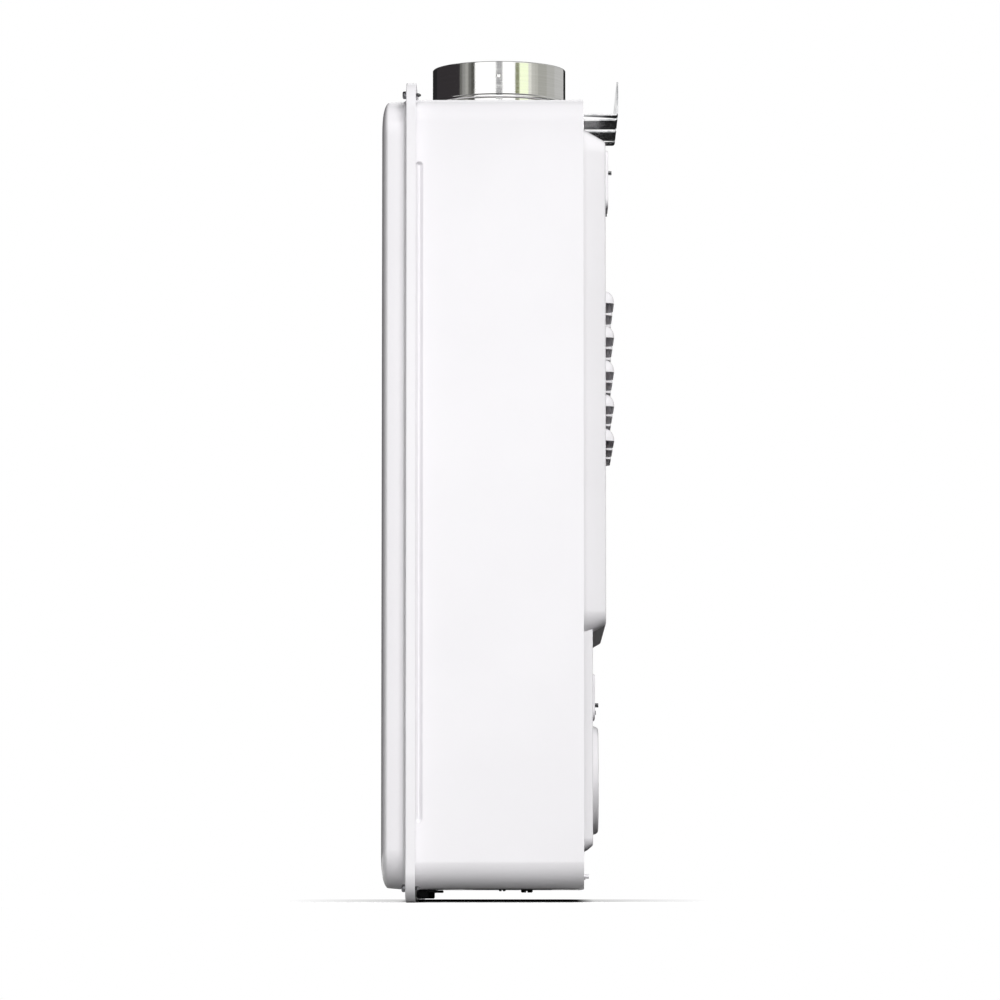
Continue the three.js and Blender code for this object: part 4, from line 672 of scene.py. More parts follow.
COVER_HEAD_HEIGHT = 3.1
COVER_SCREW_LENGTH = 13.8
for index in range(1, 5):
    low, high = node_box(f"cover_screw_{index}")
    place = ((low[0] + high[0]) / 2, (low[2] + high[2]) / 2)
    screw(f"cover_screw_head_{index}", f"cover_screw_{index}", place, low[1] + COVER_HEAD_HEIGHT,
          COVER_SCREW_LENGTH, COVER_HEAD_HEIGHT)

# %% [markdown]
# ## Rubber rests
#
# Two moulded rubber blocks sit under the casing, just behind the skirt. Moulded rubber has soft
# corners and a ribbed underside, so each block is bevelled and its ribs are welded on.

# %% Cover rests
RIB_COUNT = 9
RIB_HALF = 1
REST_DEPTH = 10.5
for side_name in ("left", "right"):
    (x0, y0, z0), (x1, y1, z1) = node_box("cover_rest_" + side_name)
    rest = raw_piece("rubber_rest_" + side_name, block((x0, y0, z0 + 0.6), (x1, y0 + REST_DEPTH, z1)))
    weld(rest, block((x0, y0 + 5, z1 - 2.4), (x1, y1, z1)))
    soften_edges(rest, 0.7, 3)
    for rib in range(RIB_COUNT):
        middle = x0 + 3.2 + rib * (x1 - x0 - 6.4) / (RIB_COUNT - 1)
        bar = raw_piece("rest_rib", block((middle - RIB_HALF, y0 + 0.6, z0),
                                          (middle + RIB_HALF, y0 + REST_DEPTH - 0.6, z0 + 1.6)))
        soften_edges(bar, 0.35)
        combine(rest, bar, "UNION")
    finish_piece(rest, "rubber", "cover_rest_" + side_name)

# %% [markdown]
# ## The rear panel
#
# The back is one pressing: a shallow tray whose rim slides into the casing, a lower box, a deeper
# upper box over it, four screw plates, a round stiffening emboss, and five rows of louvres that
# let air in. Each form is lofted from its base to its face with a rounded shoulder, all of them
# are welded, the inner side is opened, and the open skin is given its sheet thickness.

# %% Pressed forms
TRAY = (445, 721, 23.5, (0, 374))
TRAY_FRONT = -42
TRAY_BEND = 1.4
UPPER_BOX = (400, 470.5, 25, (0, 477.25))
LOWER_BOX = (380, 253, 12, (0, 173.5))
UPPER_FACE = -13.3
LOWER_FACE = -25.5
PLATE_RISE = 2.6
EMBOSS_PLACE = (0, 115.4)
EMBOSS_SECTION = ((0, -2), (52, -2), (52, 0), (50.6, 4.8), (49.6, 6.2), (48, 6.9), (46.5, 7), (0, 7))
STUD_PLACES = ((-39, 728), (39, 728), (-150, 675), (150, 675), (-98, 183), (98, 183))


def pressed_form(outline, start, base, face, draft, shoulder):
    """A closed form from start, below its base, to its face, with a rounded shoulder."""
    slope = math.atan2(draft, face - base)
    middle = (draft + shoulder * math.tan(math.radians(45) + slope / 2 - slope), face - shoulder)
    section = [(outline, 0, start), (outline, 0, base)]
    for step in range(6):
        angle = (math.pi / 2 - slope) * step / 5 + slope
        section.append((outline, middle[0] - shoulder * math.cos(angle),
                        middle[1] + shoulder * math.sin(angle)))
    return loft("pressed_form", section, capped=(0, -1))


tray_bend = bend((TRAY_BEND, CASING_BACK - TRAY_BEND), (-TRAY_BEND, TRAY_BEND), 0, 90, 3)
panel = loft("pressed_rear_panel", [(TRAY, 0, TRAY_FRONT)] + [(TRAY, *point) for point in tray_bend],
             capped=(0, -1))
forms = [(LOWER_BOX, CASING_BACK - 1, CASING_BACK, LOWER_FACE, 4.9, 2.2),
         (UPPER_BOX, CASING_BACK - 1, CASING_BACK, UPPER_FACE, 12, 3.5)]
for face, height, level, across in ((UPPER_FACE, 54, 666, 150), (LOWER_FACE, 43, 190, 98)):
    forms += [((60, height, 8, (x, level)), face - 2, face, face + PLATE_RISE, 0.8, 1)
              for x in (-across, across)]
for form in forms:
    combine(panel, pressed_form(*form), "UNION")
emboss_profile = [(radius, LOWER_FACE + rise) for radius, rise in EMBOSS_SECTION]
weld(panel, turned(emboss_profile, "Y", EMBOSS_PLACE))
print("rear panel faces before the louvres:", len(panel.data.polygons))

# %% [markdown]
# The tray's inner side is a single face at its front. Deleting it opens the skin. A louvre is a
# slot in the sheet under a hood: the hood's quarter-round lip is spun round at one end, mirrored to
# the other and bridged between them, which is the shape a press tool leaves.

# %% Open the panel, cut the slots and weld the hoods
bm = bmesh.new()
bm.from_mesh(panel.data)
front_faces = [f for f in bm.faces if all(v.co.y < TRAY_FRONT + NEAR for v in f.verts)]
bmesh.ops.delete(bm, geom=front_faces, context="FACES")
bm.to_mesh(panel.data)
bm.free()
solidify(panel, SHEET)

LOUVRE_WIDTH, LOUVRE_HEIGHT, LOUVRE_DEPTH = 86, 11, 8.5
LOUVRE_PITCH_ACROSS, LOUVRE_PITCH_DOWN = 103, 32
LOUVRE_TOP = 566
LOUVRE_ROWS = 5
HOOD_SHEET = 1.0
HOOD_SINK = 0.05
HOOD_STEPS = 8


def hood(x, top):
    """One louvre hood: a quarter-round lip with domed ends, open downwards and sunk into the face."""
    bm = bmesh.new()
    half = LOUVRE_WIDTH / 2 - LOUVRE_DEPTH
    lip = [(LOUVRE_DEPTH * math.sin(angle), -LOUVRE_HEIGHT * (1 - math.cos(angle)))
           for angle in (math.pi / 2 * step / HOOD_STEPS for step in range(HOOD_STEPS + 1))]
    lip.append((LOUVRE_DEPTH, -LOUVRE_HEIGHT - 0.6))
    verts = [bm.verts.new((half, y, z)) for y, z in lip]
    edges = [bm.edges.new(pair) for pair in zip(verts, verts[1:])]
    bmesh.ops.spin(bm, geom=verts + edges, cent=(half, 0, 0), axis=(0, 0, 1),
                   angle=-math.pi / 2, steps=HOOD_STEPS)
    bmesh.ops.mirror(bm, geom=bm.verts[:] + bm.edges[:] + bm.faces[:], axis="X", merge_dist=0)
    long_edges = [e for e in bm.edges if all(abs(abs(v.co.x) - half) < 1e-4 for v in e.verts)
                  and e.is_boundary]
    bmesh.ops.bridge_loops(bm, edges=long_edges)
    bmesh.ops.remove_doubles(bm, verts=bm.verts, dist=NEAR)
    bmesh.ops.recalc_face_normals(bm, faces=bm.faces)
    if sum(f.normal.y for f in bm.faces) < 0:
        bmesh.ops.reverse_faces(bm, faces=bm.faces)
    shift(bm, (x, UPPER_FACE - HOOD_SINK, top))
    piece = raw_piece("hood", bm)
    solidify(piece, HOOD_SHEET)
    return piece


slot_reach = LOUVRE_WIDTH / 2 - 4
for row in range(LOUVRE_ROWS):
    for column in (-1, 0, 1):
        x = column * LOUVRE_PITCH_ACROSS
        top = LOUVRE_TOP - row * LOUVRE_PITCH_DOWN
        cut(panel, block((x - slot_reach, UPPER_FACE - 3, top - 10.4),
                         (x + slot_reach, UPPER_FACE + 1, top - 2.5)))
        combine(panel, hood(x, top), "UNION")
for x in (-150, 150):
    weld(panel, drill(2, "Y", (x, 24), CASING_BACK - 0.6, CASING_BACK + 5))
for place in STUD_PLACES:
    cut(panel, drill(2.9, "Y", place, -50, 0))
finish_piece(panel, "white_paint", "rear_panel")

# %% [markdown]
# ## The wall bracket
#
# The bracket is a plate folded twice: an upright against the wall, four tabs that reach the
# casing's back, and feet that turn down for two screws. Its section is drawn once and extruded
# across the width in steps, which slant at the tabs' edges. The strips between the tabs are then
# deleted below the upright's fold, and the skin gets its thickness.

# %% Wall bracket
BRACKET_SHEET = 1.5
BRACKET_TOP = 767.8
TAB_LEVEL = 737.05
FOOT_Y = -32.95
WALL_Y = -0.75
FOLD = 1.9
FOLD_STEPS = 5
FOOT_BOTTOM = 720
BRACKET_END, OUTER_TAB, INNER_TAB, INNER_END = 101.5, 87, 69, 9
OUTER_TAB_EDGE = (81, 95)
INNER_TAB_EDGE = (69, 66)
WALL_HOLES = (20.3, 81.2)
WALL_HOLE_LEVEL = 752.05
FOOT_HOLE = (39, 728)


def bracket_section():
    """(y, z) points of the mid-line, from the foot's end to the upright's top."""
    lower = bend((FOOT_Y + FOLD, TAB_LEVEL - FOLD), (FOLD, FOLD), 180, 90, FOLD_STEPS)
    upper = bend((WALL_Y - FOLD, TAB_LEVEL + FOLD), (FOLD, FOLD), -90, 0, FOLD_STEPS)
    return [(FOOT_Y, FOOT_BOTTOM), *lower, *upper, (WALL_Y, BRACKET_TOP - 4), (WALL_Y, BRACKET_TOP)]


bm = bmesh.new()
half_stations = (BRACKET_END, OUTER_TAB, INNER_TAB, INNER_END)
stations = [-x for x in half_stations] + list(reversed(half_stations))
section_verts = [bm.verts.new((stations[0], y, z)) for y, z in bracket_section()]
live_edges = [bm.edges.new(pair) for pair in zip(section_verts, section_verts[1:])]
for near, far in zip(stations, stations[1:]):
    grown = bmesh.ops.extrude_edge_only(bm, edges=live_edges)["geom"]
    moved = [g for g in grown if isinstance(g, bmesh.types.BMVert)]
    shift(bm, (far - near, 0, 0), moved)
    live_edges = [g for g in grown if isinstance(g, bmesh.types.BMEdge)
                  and all(abs(v.co.x - far) < 1e-4 for v in g.verts)]
for vert in bm.verts:
    share = (WALL_Y - vert.co.y) / (WALL_Y - FOOT_Y)
    across = abs(vert.co.x)
    for station, (at_wall, at_casing) in ((OUTER_TAB, OUTER_TAB_EDGE), (INNER_TAB, INNER_TAB_EDGE)):
        if abs(across - station) < NEAR:
            vert.co.x = math.copysign(at_wall + (at_casing - at_wall) * share, vert.co.x)
gaps = []
for face in bm.faces:
    middle = face.calc_center_median()
    if (INNER_TAB - 1 < abs(middle.x) < OUTER_TAB + 1 or abs(middle.x) < INNER_END) \
            and middle.z < TAB_LEVEL + FOLD:
        gaps.append(face)
bmesh.ops.delete(bm, geom=gaps, context="FACES")
bmesh.ops.recalc_face_normals(bm, faces=bm.faces)
bracket = raw_piece("folded_wall_bracket", bm)
solidify(bracket, BRACKET_SHEET, 0)
for side in (-1, 1):
    for across in WALL_HOLES:
        cut(bracket, drill(3.5, "Y", (side * across, WALL_HOLE_LEVEL), -5, 5))
    cut(bracket, drill(2.4, "Y", (side * FOOT_HOLE[0], FOOT_HOLE[1]), -40, -25))
finish_piece(bracket, "zinc_steel", "wall_bracket")

FOOT_HEAD_HEIGHT = 1.6
for side, side_name in ((-1, "left"), (1, "right")):
    low, high = node_box("bracket_screw_" + side_name)
    seat = high[1] - FOOT_HEAD_HEIGHT
    place = (side * FOOT_HOLE[0], FOOT_HOLE[1])
    screw("bracket_screw_head_" + side_name, "bracket_screw_" + side_name, place, seat, seat - low[1],
          FOOT_HEAD_HEIGHT, facing=1)

# %% [markdown]
# ## The flue collar
#
# The collar is a turned tube: a flat flange that clamps its gasket, a small concave bend, a
# raised bead for the vent pipe's clamp, and a rim whose outer edge is rounded over. The bead and
# the bends are arcs in the profile, so they catch the same fine lines of light as the real ones.

# %% Flue collar
COLLAR_RADIUS = 63.5
COLLAR_STEPS = 128
COLLAR_FOOT, FLANGE_FOOT, RIM = 724, 738.6, 794
FLANGE_REACH = 14
FLANGE_BEND = 1.6
CLAMP_BEAD_FOOT, CLAMP_BEAD_MIDDLE, CLAMP_BEAD_TOP = 758.6, 761, 763.4
CLAMP_BEAD_RADIUS, CLAMP_BEAD_SINK, CLAMP_BEAD_HALF_TURN = 2.45, 1.05, 64
RIM_ROUND = 1.1
RIVET_PLACE = (FLUE[1], 779.8)


def clamp_bead(wall, direction):
    """The bead's arc on a wall of the given radius, run up (1) or down (-1)."""
    return bend((wall - CLAMP_BEAD_SINK, CLAMP_BEAD_MIDDLE), (CLAMP_BEAD_RADIUS, CLAMP_BEAD_RADIUS),
                -CLAMP_BEAD_HALF_TURN * direction, CLAMP_BEAD_HALF_TURN * direction, 10)


flange_top = FLANGE_FOOT + SHEET
outer, inner = COLLAR_RADIUS, COLLAR_RADIUS - SHEET
bend_middle = (outer + FLANGE_BEND, flange_top + FLANGE_BEND)
profile = [
    (outer + FLANGE_REACH, FLANGE_FOOT), (outer + FLANGE_REACH, flange_top),
    *bend(bend_middle, (FLANGE_BEND, FLANGE_BEND), 270, 180, 5), (outer, CLAMP_BEAD_FOOT),
    *clamp_bead(outer, 1), (outer, CLAMP_BEAD_TOP), (outer, RIM - 1.7),
    *bend((outer - RIM_ROUND, RIM - RIM_ROUND), (RIM_ROUND, RIM_ROUND), 0, 90, 8), (inner, RIM - 0.1),
    (inner, CLAMP_BEAD_TOP), *clamp_bead(inner, -1), (inner, CLAMP_BEAD_FOOT), (inner, COLLAR_FOOT),
    (outer, COLLAR_FOOT), (outer, FLANGE_FOOT)]
collar = turned_piece("polished_collar", profile, "Z", FLUE, COLLAR_STEPS)
cut(collar, drill(1.6, "X", RIVET_PLACE, 55, 75))
finish_piece(collar, "polished_steel", "flue_collar")

low, high = node_box("collar_rivet")
back, seat = low[0], high[0] - 1.0
profile = [(0, back), (1.4, back), (2.0, back + 0.4), (2.0, back + 1.0), (1.4, back + 1.0),
           (1.4, seat), (2.3, seat), *bend((0, seat + 0.15), (2.3, 0.85), 0, 75, 5), (0, seat + 1.0)]
rivet = turned_piece("domed_rivet", profile, "X", RIVET_PLACE, SCREW_STEPS, closed=False)
finish_piece(rivet, "polished_steel", "collar_rivet")

# %% [markdown]
# Below the collar sit its rubber gasket, the soft ring between collar and hood, and the hood
# itself, which narrows from the heat exchanger's rectangle to a round neck. The neck is as many
# points round as the rectangle, so one bridge makes the change of shape.

# %% Gasket, seal and hood
low, high = node_levels("collar_gasket")
profile = [(FLUE_HOLE_RADIUS, low), (77.0, low), (77.5, low + 0.5), (77.5, high - 0.5), (77.0, high),
           (FLUE_HOLE_RADIUS, high)]
gasket = turned_piece("collar_gasket_ring", profile, "Z", FLUE)
finish_piece(gasket, "rubber", "collar_gasket")

low, high = node_levels("flue_seal")
rise = high - low
profile = [(57.3, low), (62.0, low), (62.0, low + rise * 0.45), (61.2, low + rise * 0.55),
           (62.0, low + rise * 0.65), (62.0, high - 0.8), (61.0, high), (58.0, high),
           (57.3, high - 0.7)]
seal = turned_piece("flue_seal_ring", profile, "Z", FLUE)
finish_piece(seal, "rubber", "flue_seal")

low, high = node_levels("flue_hood")
HOOD_SHOULDER = low + 75
CHAMBER = (250, 112, 12, FLUE)
HOOD_MOUTH = (238, 120, 12, FLUE)


def round_outline(radius):
    """A circle as an outline, with as many points as a rounded rectangle."""
    return (2 * radius, 2 * radius, radius, FLUE)


smoke_hood = loft("flue_hood_shell", [
    (CHAMBER, -8, low + 0.01), (CHAMBER, 0.1, low + 0.02), (CHAMBER, 0.3, low + 2),
    (HOOD_MOUTH, 0.2, HOOD_SHOULDER - 2), (HOOD_MOUTH, 0.8, HOOD_SHOULDER - 0.6),
    (HOOD_MOUTH, 2, HOOD_SHOULDER), (round_outline(57.6), 0, HOOD_SHOULDER),
    (round_outline(57), 0, HOOD_SHOULDER + 0.6), (round_outline(57), 0, high)], upright=False)
solidify(smoke_hood, SHEET)
finish_piece(smoke_hood, "zinc_steel", "flue_hood")

# %% [markdown]
# ## The connections below
#
# The pipe fittings come down inside a recessed pan. Each fitting is turned, with a threaded end,
# a chamfer at its mouth and a flange above the pan. The two service plugs have ribbed grips, and
# the cable gland has a domed nut. The pan is drawn sheet with rounded corners.

# %% Pan and fittings
PAN = (356, 76, 3, (0, -100))
PAN_FLOOR = node_levels("connection_plate")[0]
PAN_PLATE = PAN_FLOOR + 44
RIM_BEND, PLATE_BEND = 1.2, 2
PIPES = {"cold_inlet": (150, -100), "hot_outlet": (-150, -100), "gas_inlet": (40, -100)}
FILTER_PLACE, DRAIN_PLACE, GLAND_PLACE = (112, -86), (-112, -110), (-60, -100)
PIPE_HOLE, PLUG_HOLE, GLAND_HOLE = 13.6, 8.0, 6.3
FITTING_STEPS = 64
GRIP_RIBS = 20

section = [(-12, PAN_FLOOR), (-RIM_BEND, PAN_FLOOR)]
section += bend((-RIM_BEND, PAN_FLOOR + RIM_BEND), (RIM_BEND, -RIM_BEND), 90, 0, 4)[1:]
section += bend((PLATE_BEND, PAN_PLATE - PLATE_BEND), (-PLATE_BEND, PLATE_BEND), 0, 90, 4)
pan = loft("connection_pan", [(PAN, *point) for point in section], upright=False, capped=(-1,))
solidify(pan, SHEET, 1)
pan_holes = [(PIPE_HOLE, place) for place in PIPES.values()]
pan_holes += [(PLUG_HOLE, FILTER_PLACE), (PLUG_HOLE, DRAIN_PLACE), (GLAND_HOLE, GLAND_PLACE)]
for radius, place in pan_holes:
    cut(pan, drill(radius, "Z", place, PAN_PLATE - 4, PAN_PLATE + 6, 48))
finish_piece(pan, "zinc_steel", "connection_plate")


def thread(radius, start, end, pitch, depth):
    """(radius, level) points of an external thread from start up to end."""
    points = [(radius - depth, start)]
    turns = int((end - start) / pitch)
    for index in range(turns):
        level = start + index * pitch
        points += [(radius, level + pitch * 0.45), (radius, level + pitch * 0.55),
                   (radius - depth, level + pitch)]
    return points + [(radius, start + turns * pitch + depth)]


def pipe_fitting(name, node, middle):
    """A threaded fitting with a flange that rests on the pan's plate."""
    foot, top = node_levels(node)
    seat = PAN_PLATE + SHEET + 0.3
    profile = [(9, foot + 1), (10, foot), (11.8, foot)] + thread(13.3, foot + 0.6, foot + 19, 1.8, 1.0)
    profile += [(13.3, seat), (18, seat), (18, seat + 5), (11, seat + 5), (11, top), (9, top)]
    piece = turned_piece(name, profile, "Z", middle, FITTING_STEPS)
    finish_piece(piece, "brass", node)


for pipe, place in PIPES.items():
    pipe_fitting(pipe + "_thread", pipe + "_fitting", place)


def service_plug(name, node, middle, tip):
    """A plug with a slotted tip, a ribbed grip and a collar under the pan."""
    foot, top = node_levels(node)
    seat = PAN_PLATE - 0.3
    profile = [(0, foot), (tip - 0.8, foot), (tip, foot + 0.8), (tip, foot + 10.5), (7.6, foot + 11),
               (8.1, foot + 11.6), (8.1, seat - 7), (10.2, seat - 6.5), (11, seat - 5.7),
               (11, seat - 0.5), (10.5, seat), (7.7, seat), (7.7, top - 0.6), (7.1, top), (0, top)]
    piece = turned_piece(name, profile, "Z", middle, FITTING_STEPS, closed=False)
    for index in range(GRIP_RIBS):
        rib = block((7.7, -0.45, foot + 12.5), (8.5, 0.45, seat - 7.6))
        rotate(rib, 2 * math.pi * index / GRIP_RIBS, "Z")
        shift(rib, (middle[0], middle[1], 0))
        weld(piece, rib)
    cut(piece, block((middle[0] - tip - 1, middle[1] - 0.6, foot - 1),
                     (middle[0] + tip + 1, middle[1] + 0.6, foot + 1.4)))
    finish_piece(piece, "black_plastic", node)


service_plug("filter_plug_grip", "filter_plug", FILTER_PLACE, 5.4)
service_plug("drain_plug_grip", "drain_plug", DRAIN_PLACE, 3.4)

# %% [markdown]
# A cable gland is a short tube with a hexagonal nut above and below the sheet and a domed cap that
# grips the cable. The nuts are turned with six sides and the dome with many.

# %% Cable gland
foot, top = node_levels("cable_gland")
profile = [(3.5, foot), *bend((4.6, foot + 3.2), (2.4, 3.2), -90, 0, 6), (7.4, foot + 10.5),
           (6.0, foot + 10.8), (6.0, top - 0.5), (5.5, top), (3.5, top)]
gland = turned_piece("cable_gland_dome", profile, "Z", GLAND_PLACE, 48)
for start, end in ((PAN_PLATE - 7.3, PAN_PLATE - 0.3), (top - 7, top - 0.01)):
    section = [(3.6, start), (9, start), (9, end), (3.6, end)]
    nut = turned_piece("gland_nut", section, "Z", GLAND_PLACE, 6)
    soften_edges(nut, 0.5, 2)
    combine(gland, nut, "UNION")
finish_piece(gland, "black_plastic", "cable_gland")

# %% [markdown]
# ## The studio
#
# The heater stands on a pale floor before a white ground. The world gives diffuse surfaces an even
# dome of light, and shows polished ones a white horizon under a dark ceiling. Two big softboxes
# stand on the camera's side, and weaker ones stand round the other sides, so every side can be read.

# %% World and softboxes
DOME_LEVEL = 0.22
world = bpy.data.worlds.new("studio_world")
bpy.context.scene.world = world
world.use_nodes = True
tree = world.node_tree
tree.nodes.clear()
direction = add_node(tree, "SeparateXYZ", {"Vector": source(tree, "TexCoord", "Generated")})
glossy_level = remap(tree, direction.outputs["Z"], 0.7, 0.85, 1.0, 0.1)
ray = tree.nodes.new("ShaderNodeLightPath").outputs
unseen_level = remap(tree, ray["Is Glossy Ray"], 0, 1, DOME_LEVEL, glossy_level)
seen = combine_numbers(tree, "MAXIMUM", ray["Is Camera Ray"], ray["Is Transmission Ray"])
world_level = remap(tree, seen, 0, 1, unseen_level, 1.0)
background = add_node(tree, "Background", {"Color": WHITE, "Strength": world_level})
add_node(tree, "OutputWorld", {"Surface": background.outputs["Background"]})

FAR_LAMPS, NEAR_LAMPS = 14.0, 3.6
STUDIO_CENTRE = Vector((0, -0.11, -0.38))


def softbox(name, azimuth, elevation, distance, size, level):
    """A soft lamp that lights a facing surface to the given level; azimuth 0 is the camera's side."""
    a, e = math.radians(azimuth), math.radians(elevation)
    data = bpy.data.lights.new(name, "AREA")
    data.shape = "RECTANGLE"
    data.size, data.size_y = size
    data.energy = level * math.pi ** 2 * distance ** 2
    lamp = bpy.data.objects.new(name, data)
    bpy.context.scene.collection.objects.link(lamp)
    out = Vector((math.cos(a) * math.cos(e), math.sin(a) * math.cos(e), math.sin(e)))
    lamp.location = STUDIO_CENTRE + out * distance
    lamp.rotation_euler = out.to_track_quat("Z", "Y").to_euler()
    lamp.visible_glossy = False


softbox("front_softbox", 2, 22, FAR_LAMPS, (5.0, 5.4), 0.385)
softbox("wall_softbox", 21, 37, FAR_LAMPS, (4.0, 5.4), 0.475)
softbox("cover_fill", -100, 25, NEAR_LAMPS, (2.4, 2.0), 0.1)
softbox("rear_fill", 110, 12, NEAR_LAMPS, (2.4, 2.0), 0.3)
softbox("far_side_fill", 180, 25, NEAR_LAMPS, (2.4, 2.0), 0.45)
print("lamps:", [lamp.name for lamp in bpy.data.lights])

# %% [markdown]
# Polished steel shows its surroundings more than itself. The collar's upright bands of black,
# white and warm grey are cards standing round the set, so the same cards are stood here, as bent
# sheets seen by glossy rays alone, with a bright strip under the gap for the camera. They light no
# matt surface and cast no shadow.

# %% Reflection cards
CARD_RADIUS = 3.0
CARD_FOOT, CARD_TOP = -0.75, 3.2
CARDS = (
    ("low_flag_beyond_cover", -180, -172, (0.02, 0.02, 0.021), (CARD_FOOT, 0.2)),
    ("black_flag_beyond_cover", -172, -137, (0.02, 0.02, 0.021)),
    ("charcoal_flag_at_cover", -137, -71, (0.038, 0.034, 0.037)),
    ("dim_card_at_cover", -71, -66, (0.17, 0.17, 0.16)),
    ("half_grey_card_at_cover", -66, -60, (0.31, 0.31, 0.3)),
    ("grey_card_at_cover", -60, -54, (0.41, 0.41, 0.39)),
    ("shaded_edge_at_cover", -54, -48.5, (0.18, 0.18, 0.17)),
    ("dark_gap_at_cover", -48.5, -42, (0.09, 0.09, 0.08)),
    ("white_card_at_cover", -42, -5, (1.25,) * 3),
    ("camera_gap", -5, 6, (0.4, 0.4, 0.41), (0.36, CARD_TOP)),
    ("strip_light_at_camera", -5, 6, (3.0,) * 3, (CARD_FOOT, 0.36)),
    ("white_card_at_wall", 6, 28, (1.25,) * 3),
    ("olive_gap_at_wall", 28, 35.5, (0.26, 0.28, 0.16), (0.36, 0.62)),
    ("pale_green_card", 35.5, 52, (1.1, 1.2, 0.85), (0.36, 0.62)),
    ("pale_card_at_wall", 52, 58, (0.84, 0.84, 0.78)),
    ("fading_card_at_wall", 58, 64.5, (0.6, 0.6, 0.56)),
    ("warm_card_at_wall", 64.5, 71, (0.54, 0.54, 0.5)),
    ("dim_card_at_wall", 71, 91, (0.44, 0.44, 0.41)),
    ("soft_card_beyond_wall", 91, 112, (0.5, 0.5, 0.48)),
    ("warm_card_beyond_wall", 112, 150, (0.56, 0.56, 0.55)),
    ("black_flag_beyond_wall", 150, 176, (0.02,) * 3),
    ("low_flag_beyond_wall", 176, 180, (0.02,) * 3, (CARD_FOOT, 0.2)),
)


def glow(tree, shade, strength=1.0):
    """The shader of an Emission node."""
    return add_node(tree, "Emission", {"Color": shade, "Strength": strength}).outputs["Emission"]


def reflection_card(name, start, end, level, heights=(CARD_FOOT, CARD_TOP)):
    """A bent card between two azimuths, 0 being the camera's side, and two heights."""
    bm = bmesh.new()
    a = math.radians(start)
    foot = bm.verts.new((CARD_RADIUS * math.cos(a), CARD_RADIUS * math.sin(a), heights[0]))
    top = bm.verts.new((foot.co.x, foot.co.y, heights[1]))
    edge = bm.edges.new((foot, top))
    bmesh.ops.spin(bm, geom=[foot, top, edge], cent=(0, 0, 0), axis=(0, 0, 1),
                   angle=math.radians(end - start), steps=max(2, int((end - start) / 4)))
    shift(bm, (0, STUDIO_CENTRE.y, 0))
    card = raw_piece(name, bm)
    material, tree, shader, output = principled_material(name)
    tree.nodes.remove(shader)
    feed(tree, output, {"Surface": glow(tree, colour(*level))})
    card.data.materials.append(material)
    for kind in ("camera", "diffuse", "transmission", "volume_scatter", "shadow"):
        setattr(card, "visible_" + kind, False)


for card_values in CARDS:
    reflection_card(*card_values)
print("cards:", len(CARDS))

# %% [markdown]
# The floor is pale and keeps the heater's thin shadow, and far out it turns to the ground's white,
# so no horizon shows. Seen from below it is clear, because the heater's underside is worth seeing.

# %% Floor
FLOOR_HALF = 14
FLOOR_GAP = 0.0003


def mix_shaders(tree, factor, first, second):
    """A Mix Shader node between two shaders."""
    return add_node(tree, "MixShader", {0: factor, 1: first, 2: second})


def clear_from_below(tree, shader, output):
    """Shows a shader from above only; returns the mixer, whose factor is how clear it is."""
    mixer = mix_shaders(tree, source(tree, "NewGeometry", "Backfacing"), shader,
                        source(tree, "BsdfTransparent", 0))
    feed(tree, output, {"Surface": mixer.outputs[0]})
    return mixer


bm = bmesh.new()
bmesh.ops.create_grid(bm, x_segments=8, y_segments=8, size=FLOOR_HALF)
shift(bm, (0, 0, COVER_FOOT - FLOOR_GAP))
floor = raw_piece("pale_floor", bm)
material, tree, shader, output = principled_material("pale_floor")
place = source(tree, "TexCoord", "Object")
ray = tree.nodes.new("ShaderNodeLightPath").outputs
pale = place_group(tree, speckle, place, Scale=300, First=colour(0.8, 0.8, 0.8),
                   Second=colour(0.84, 0.84, 0.84))
base = mix_colours(tree, ray["Is Diffuse Ray"], pale, colour(0.15, 0.15, 0.15))
feed(tree, shader, {"Base Color": base, "Roughness": 0.9, "Specular IOR Level": 0.1})

distance = add_node(tree, "VectorMath", {0: place}, operation="LENGTH").outputs["Value"]
lift_level = combine_numbers(tree, "MULTIPLY", ray["Is Camera Ray"],
                             remap(tree, distance, 0.18, 0.6, 0.05, 0.4))
near_floor = add_node(tree, "AddShader", {0: shader.outputs["BSDF"], 1: glow(tree, WHITE, lift_level)})
far_share = combine_numbers(tree, "MULTIPLY", remap(tree, distance, 1.4, 3.2, 0, 1),
                            ray["Is Camera Ray"])
ground = mix_shaders(tree, far_share, near_floor.outputs[0], glow(tree, WHITE))
clear_from_below(tree, ground.outputs[0], output)
floor.data.materials.append(material)
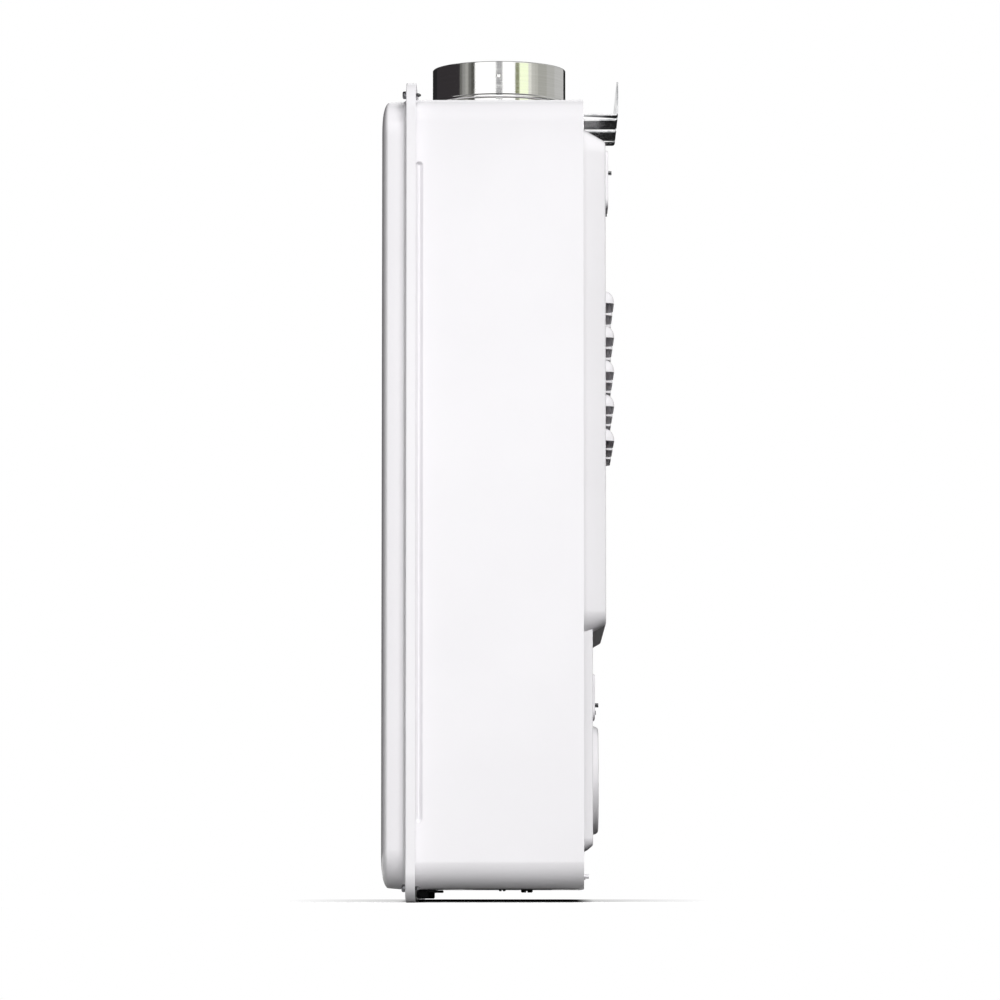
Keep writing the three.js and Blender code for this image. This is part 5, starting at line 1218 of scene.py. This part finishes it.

# %% [markdown]
# Two black cards lie on the floor. The one under the heater is a painted shadow: a black sheet,
# darkest in its middle and clear at its edges, with its far edge propped up by a few millimetres,
# which also keeps the floor's glow off the underside. The other lies behind the heater, where only
# other surfaces see it, and takes the floor's glow away where it would flatten the folds. Like the
# floor, they are clear from below.

# %% Black cards on the floor
FAR_EDGE_RISE = 0.0033
SHADOW_MIDDLE = -0.114


def floor_card(name, low, high, far_rise):
    """A black card between two corners, its far side raised. Returns it, its tree and its mixer."""
    middle = ((low[0] + high[0]) / 2, (low[1] + high[1]) / 2, COVER_FOOT)
    bm = bmesh.new()
    bmesh.ops.create_grid(bm, x_segments=1, y_segments=1, size=0.5)
    bmesh.ops.scale(bm, vec=(high[0] - low[0], high[1] - low[1], 1), verts=bm.verts)
    shift(bm, middle)
    far_verts = [v for v in bm.verts if v.co.x < middle[0]]
    shift(bm, (0, 0, far_rise), far_verts)
    card = raw_piece(name, bm)
    material, tree, shader, output = principled_material(name)
    feed(tree, shader, {"Base Color": colour(0.01, 0.01, 0.01), "Roughness": 0.9,
                        "Specular IOR Level": 0.0})
    mixer = clear_from_below(tree, shader.outputs["BSDF"], output)
    card.data.materials.append(material)
    return card, tree, mixer


# A painted shadow: the card's black is strongest in a band along the heater and fades towards its ends
# and sides.
_, tree, mixer = floor_card("painted_shadow_card", (-0.21, -0.33), (0.21, 0.1), FAR_EDGE_RISE)
place = add_node(tree, "SeparateXYZ", {"Vector": source(tree, "TexCoord", "Object")}).outputs
across = combine_numbers(tree, "ABSOLUTE", place["X"])
along = combine_numbers(tree, "ABSOLUTE", combine_numbers(tree, "SUBTRACT", place["Y"], SHADOW_MIDDLE))
painted_shadow_core = remap(tree, along, 0.068, 0.092, 0.9, 0.0)
painted_shadow_tail = remap(tree, along, 0.08, 0.2, 0.4, 0.0)
side_fade = remap(tree, across, 0.13, 0.21, 1.0, 0.0)
painted_shadow_share = combine_numbers(tree, "MULTIPLY", combine_numbers(tree, "ADD", painted_shadow_core, painted_shadow_tail), side_fade)
clear_share = combine_numbers(tree, "SUBTRACT", 1.0, painted_shadow_share)
backfacing = mixer.inputs["Fac"].links[0].from_socket
feed(tree, mixer, {"Fac": combine_numbers(tree, "MAXIMUM", backfacing, clear_share)})

behind_card, _, _ = floor_card("card_behind_heater", (-3.0, -0.03), (3.0, 3.0), 0.0)
behind_card.visible_camera = False

# %% [markdown]
# ## Last steps
#
# The picture's colours are written as they are, with no film look.

# %% Colour view
bpy.context.scene.view_settings.view_transform = "Standard"
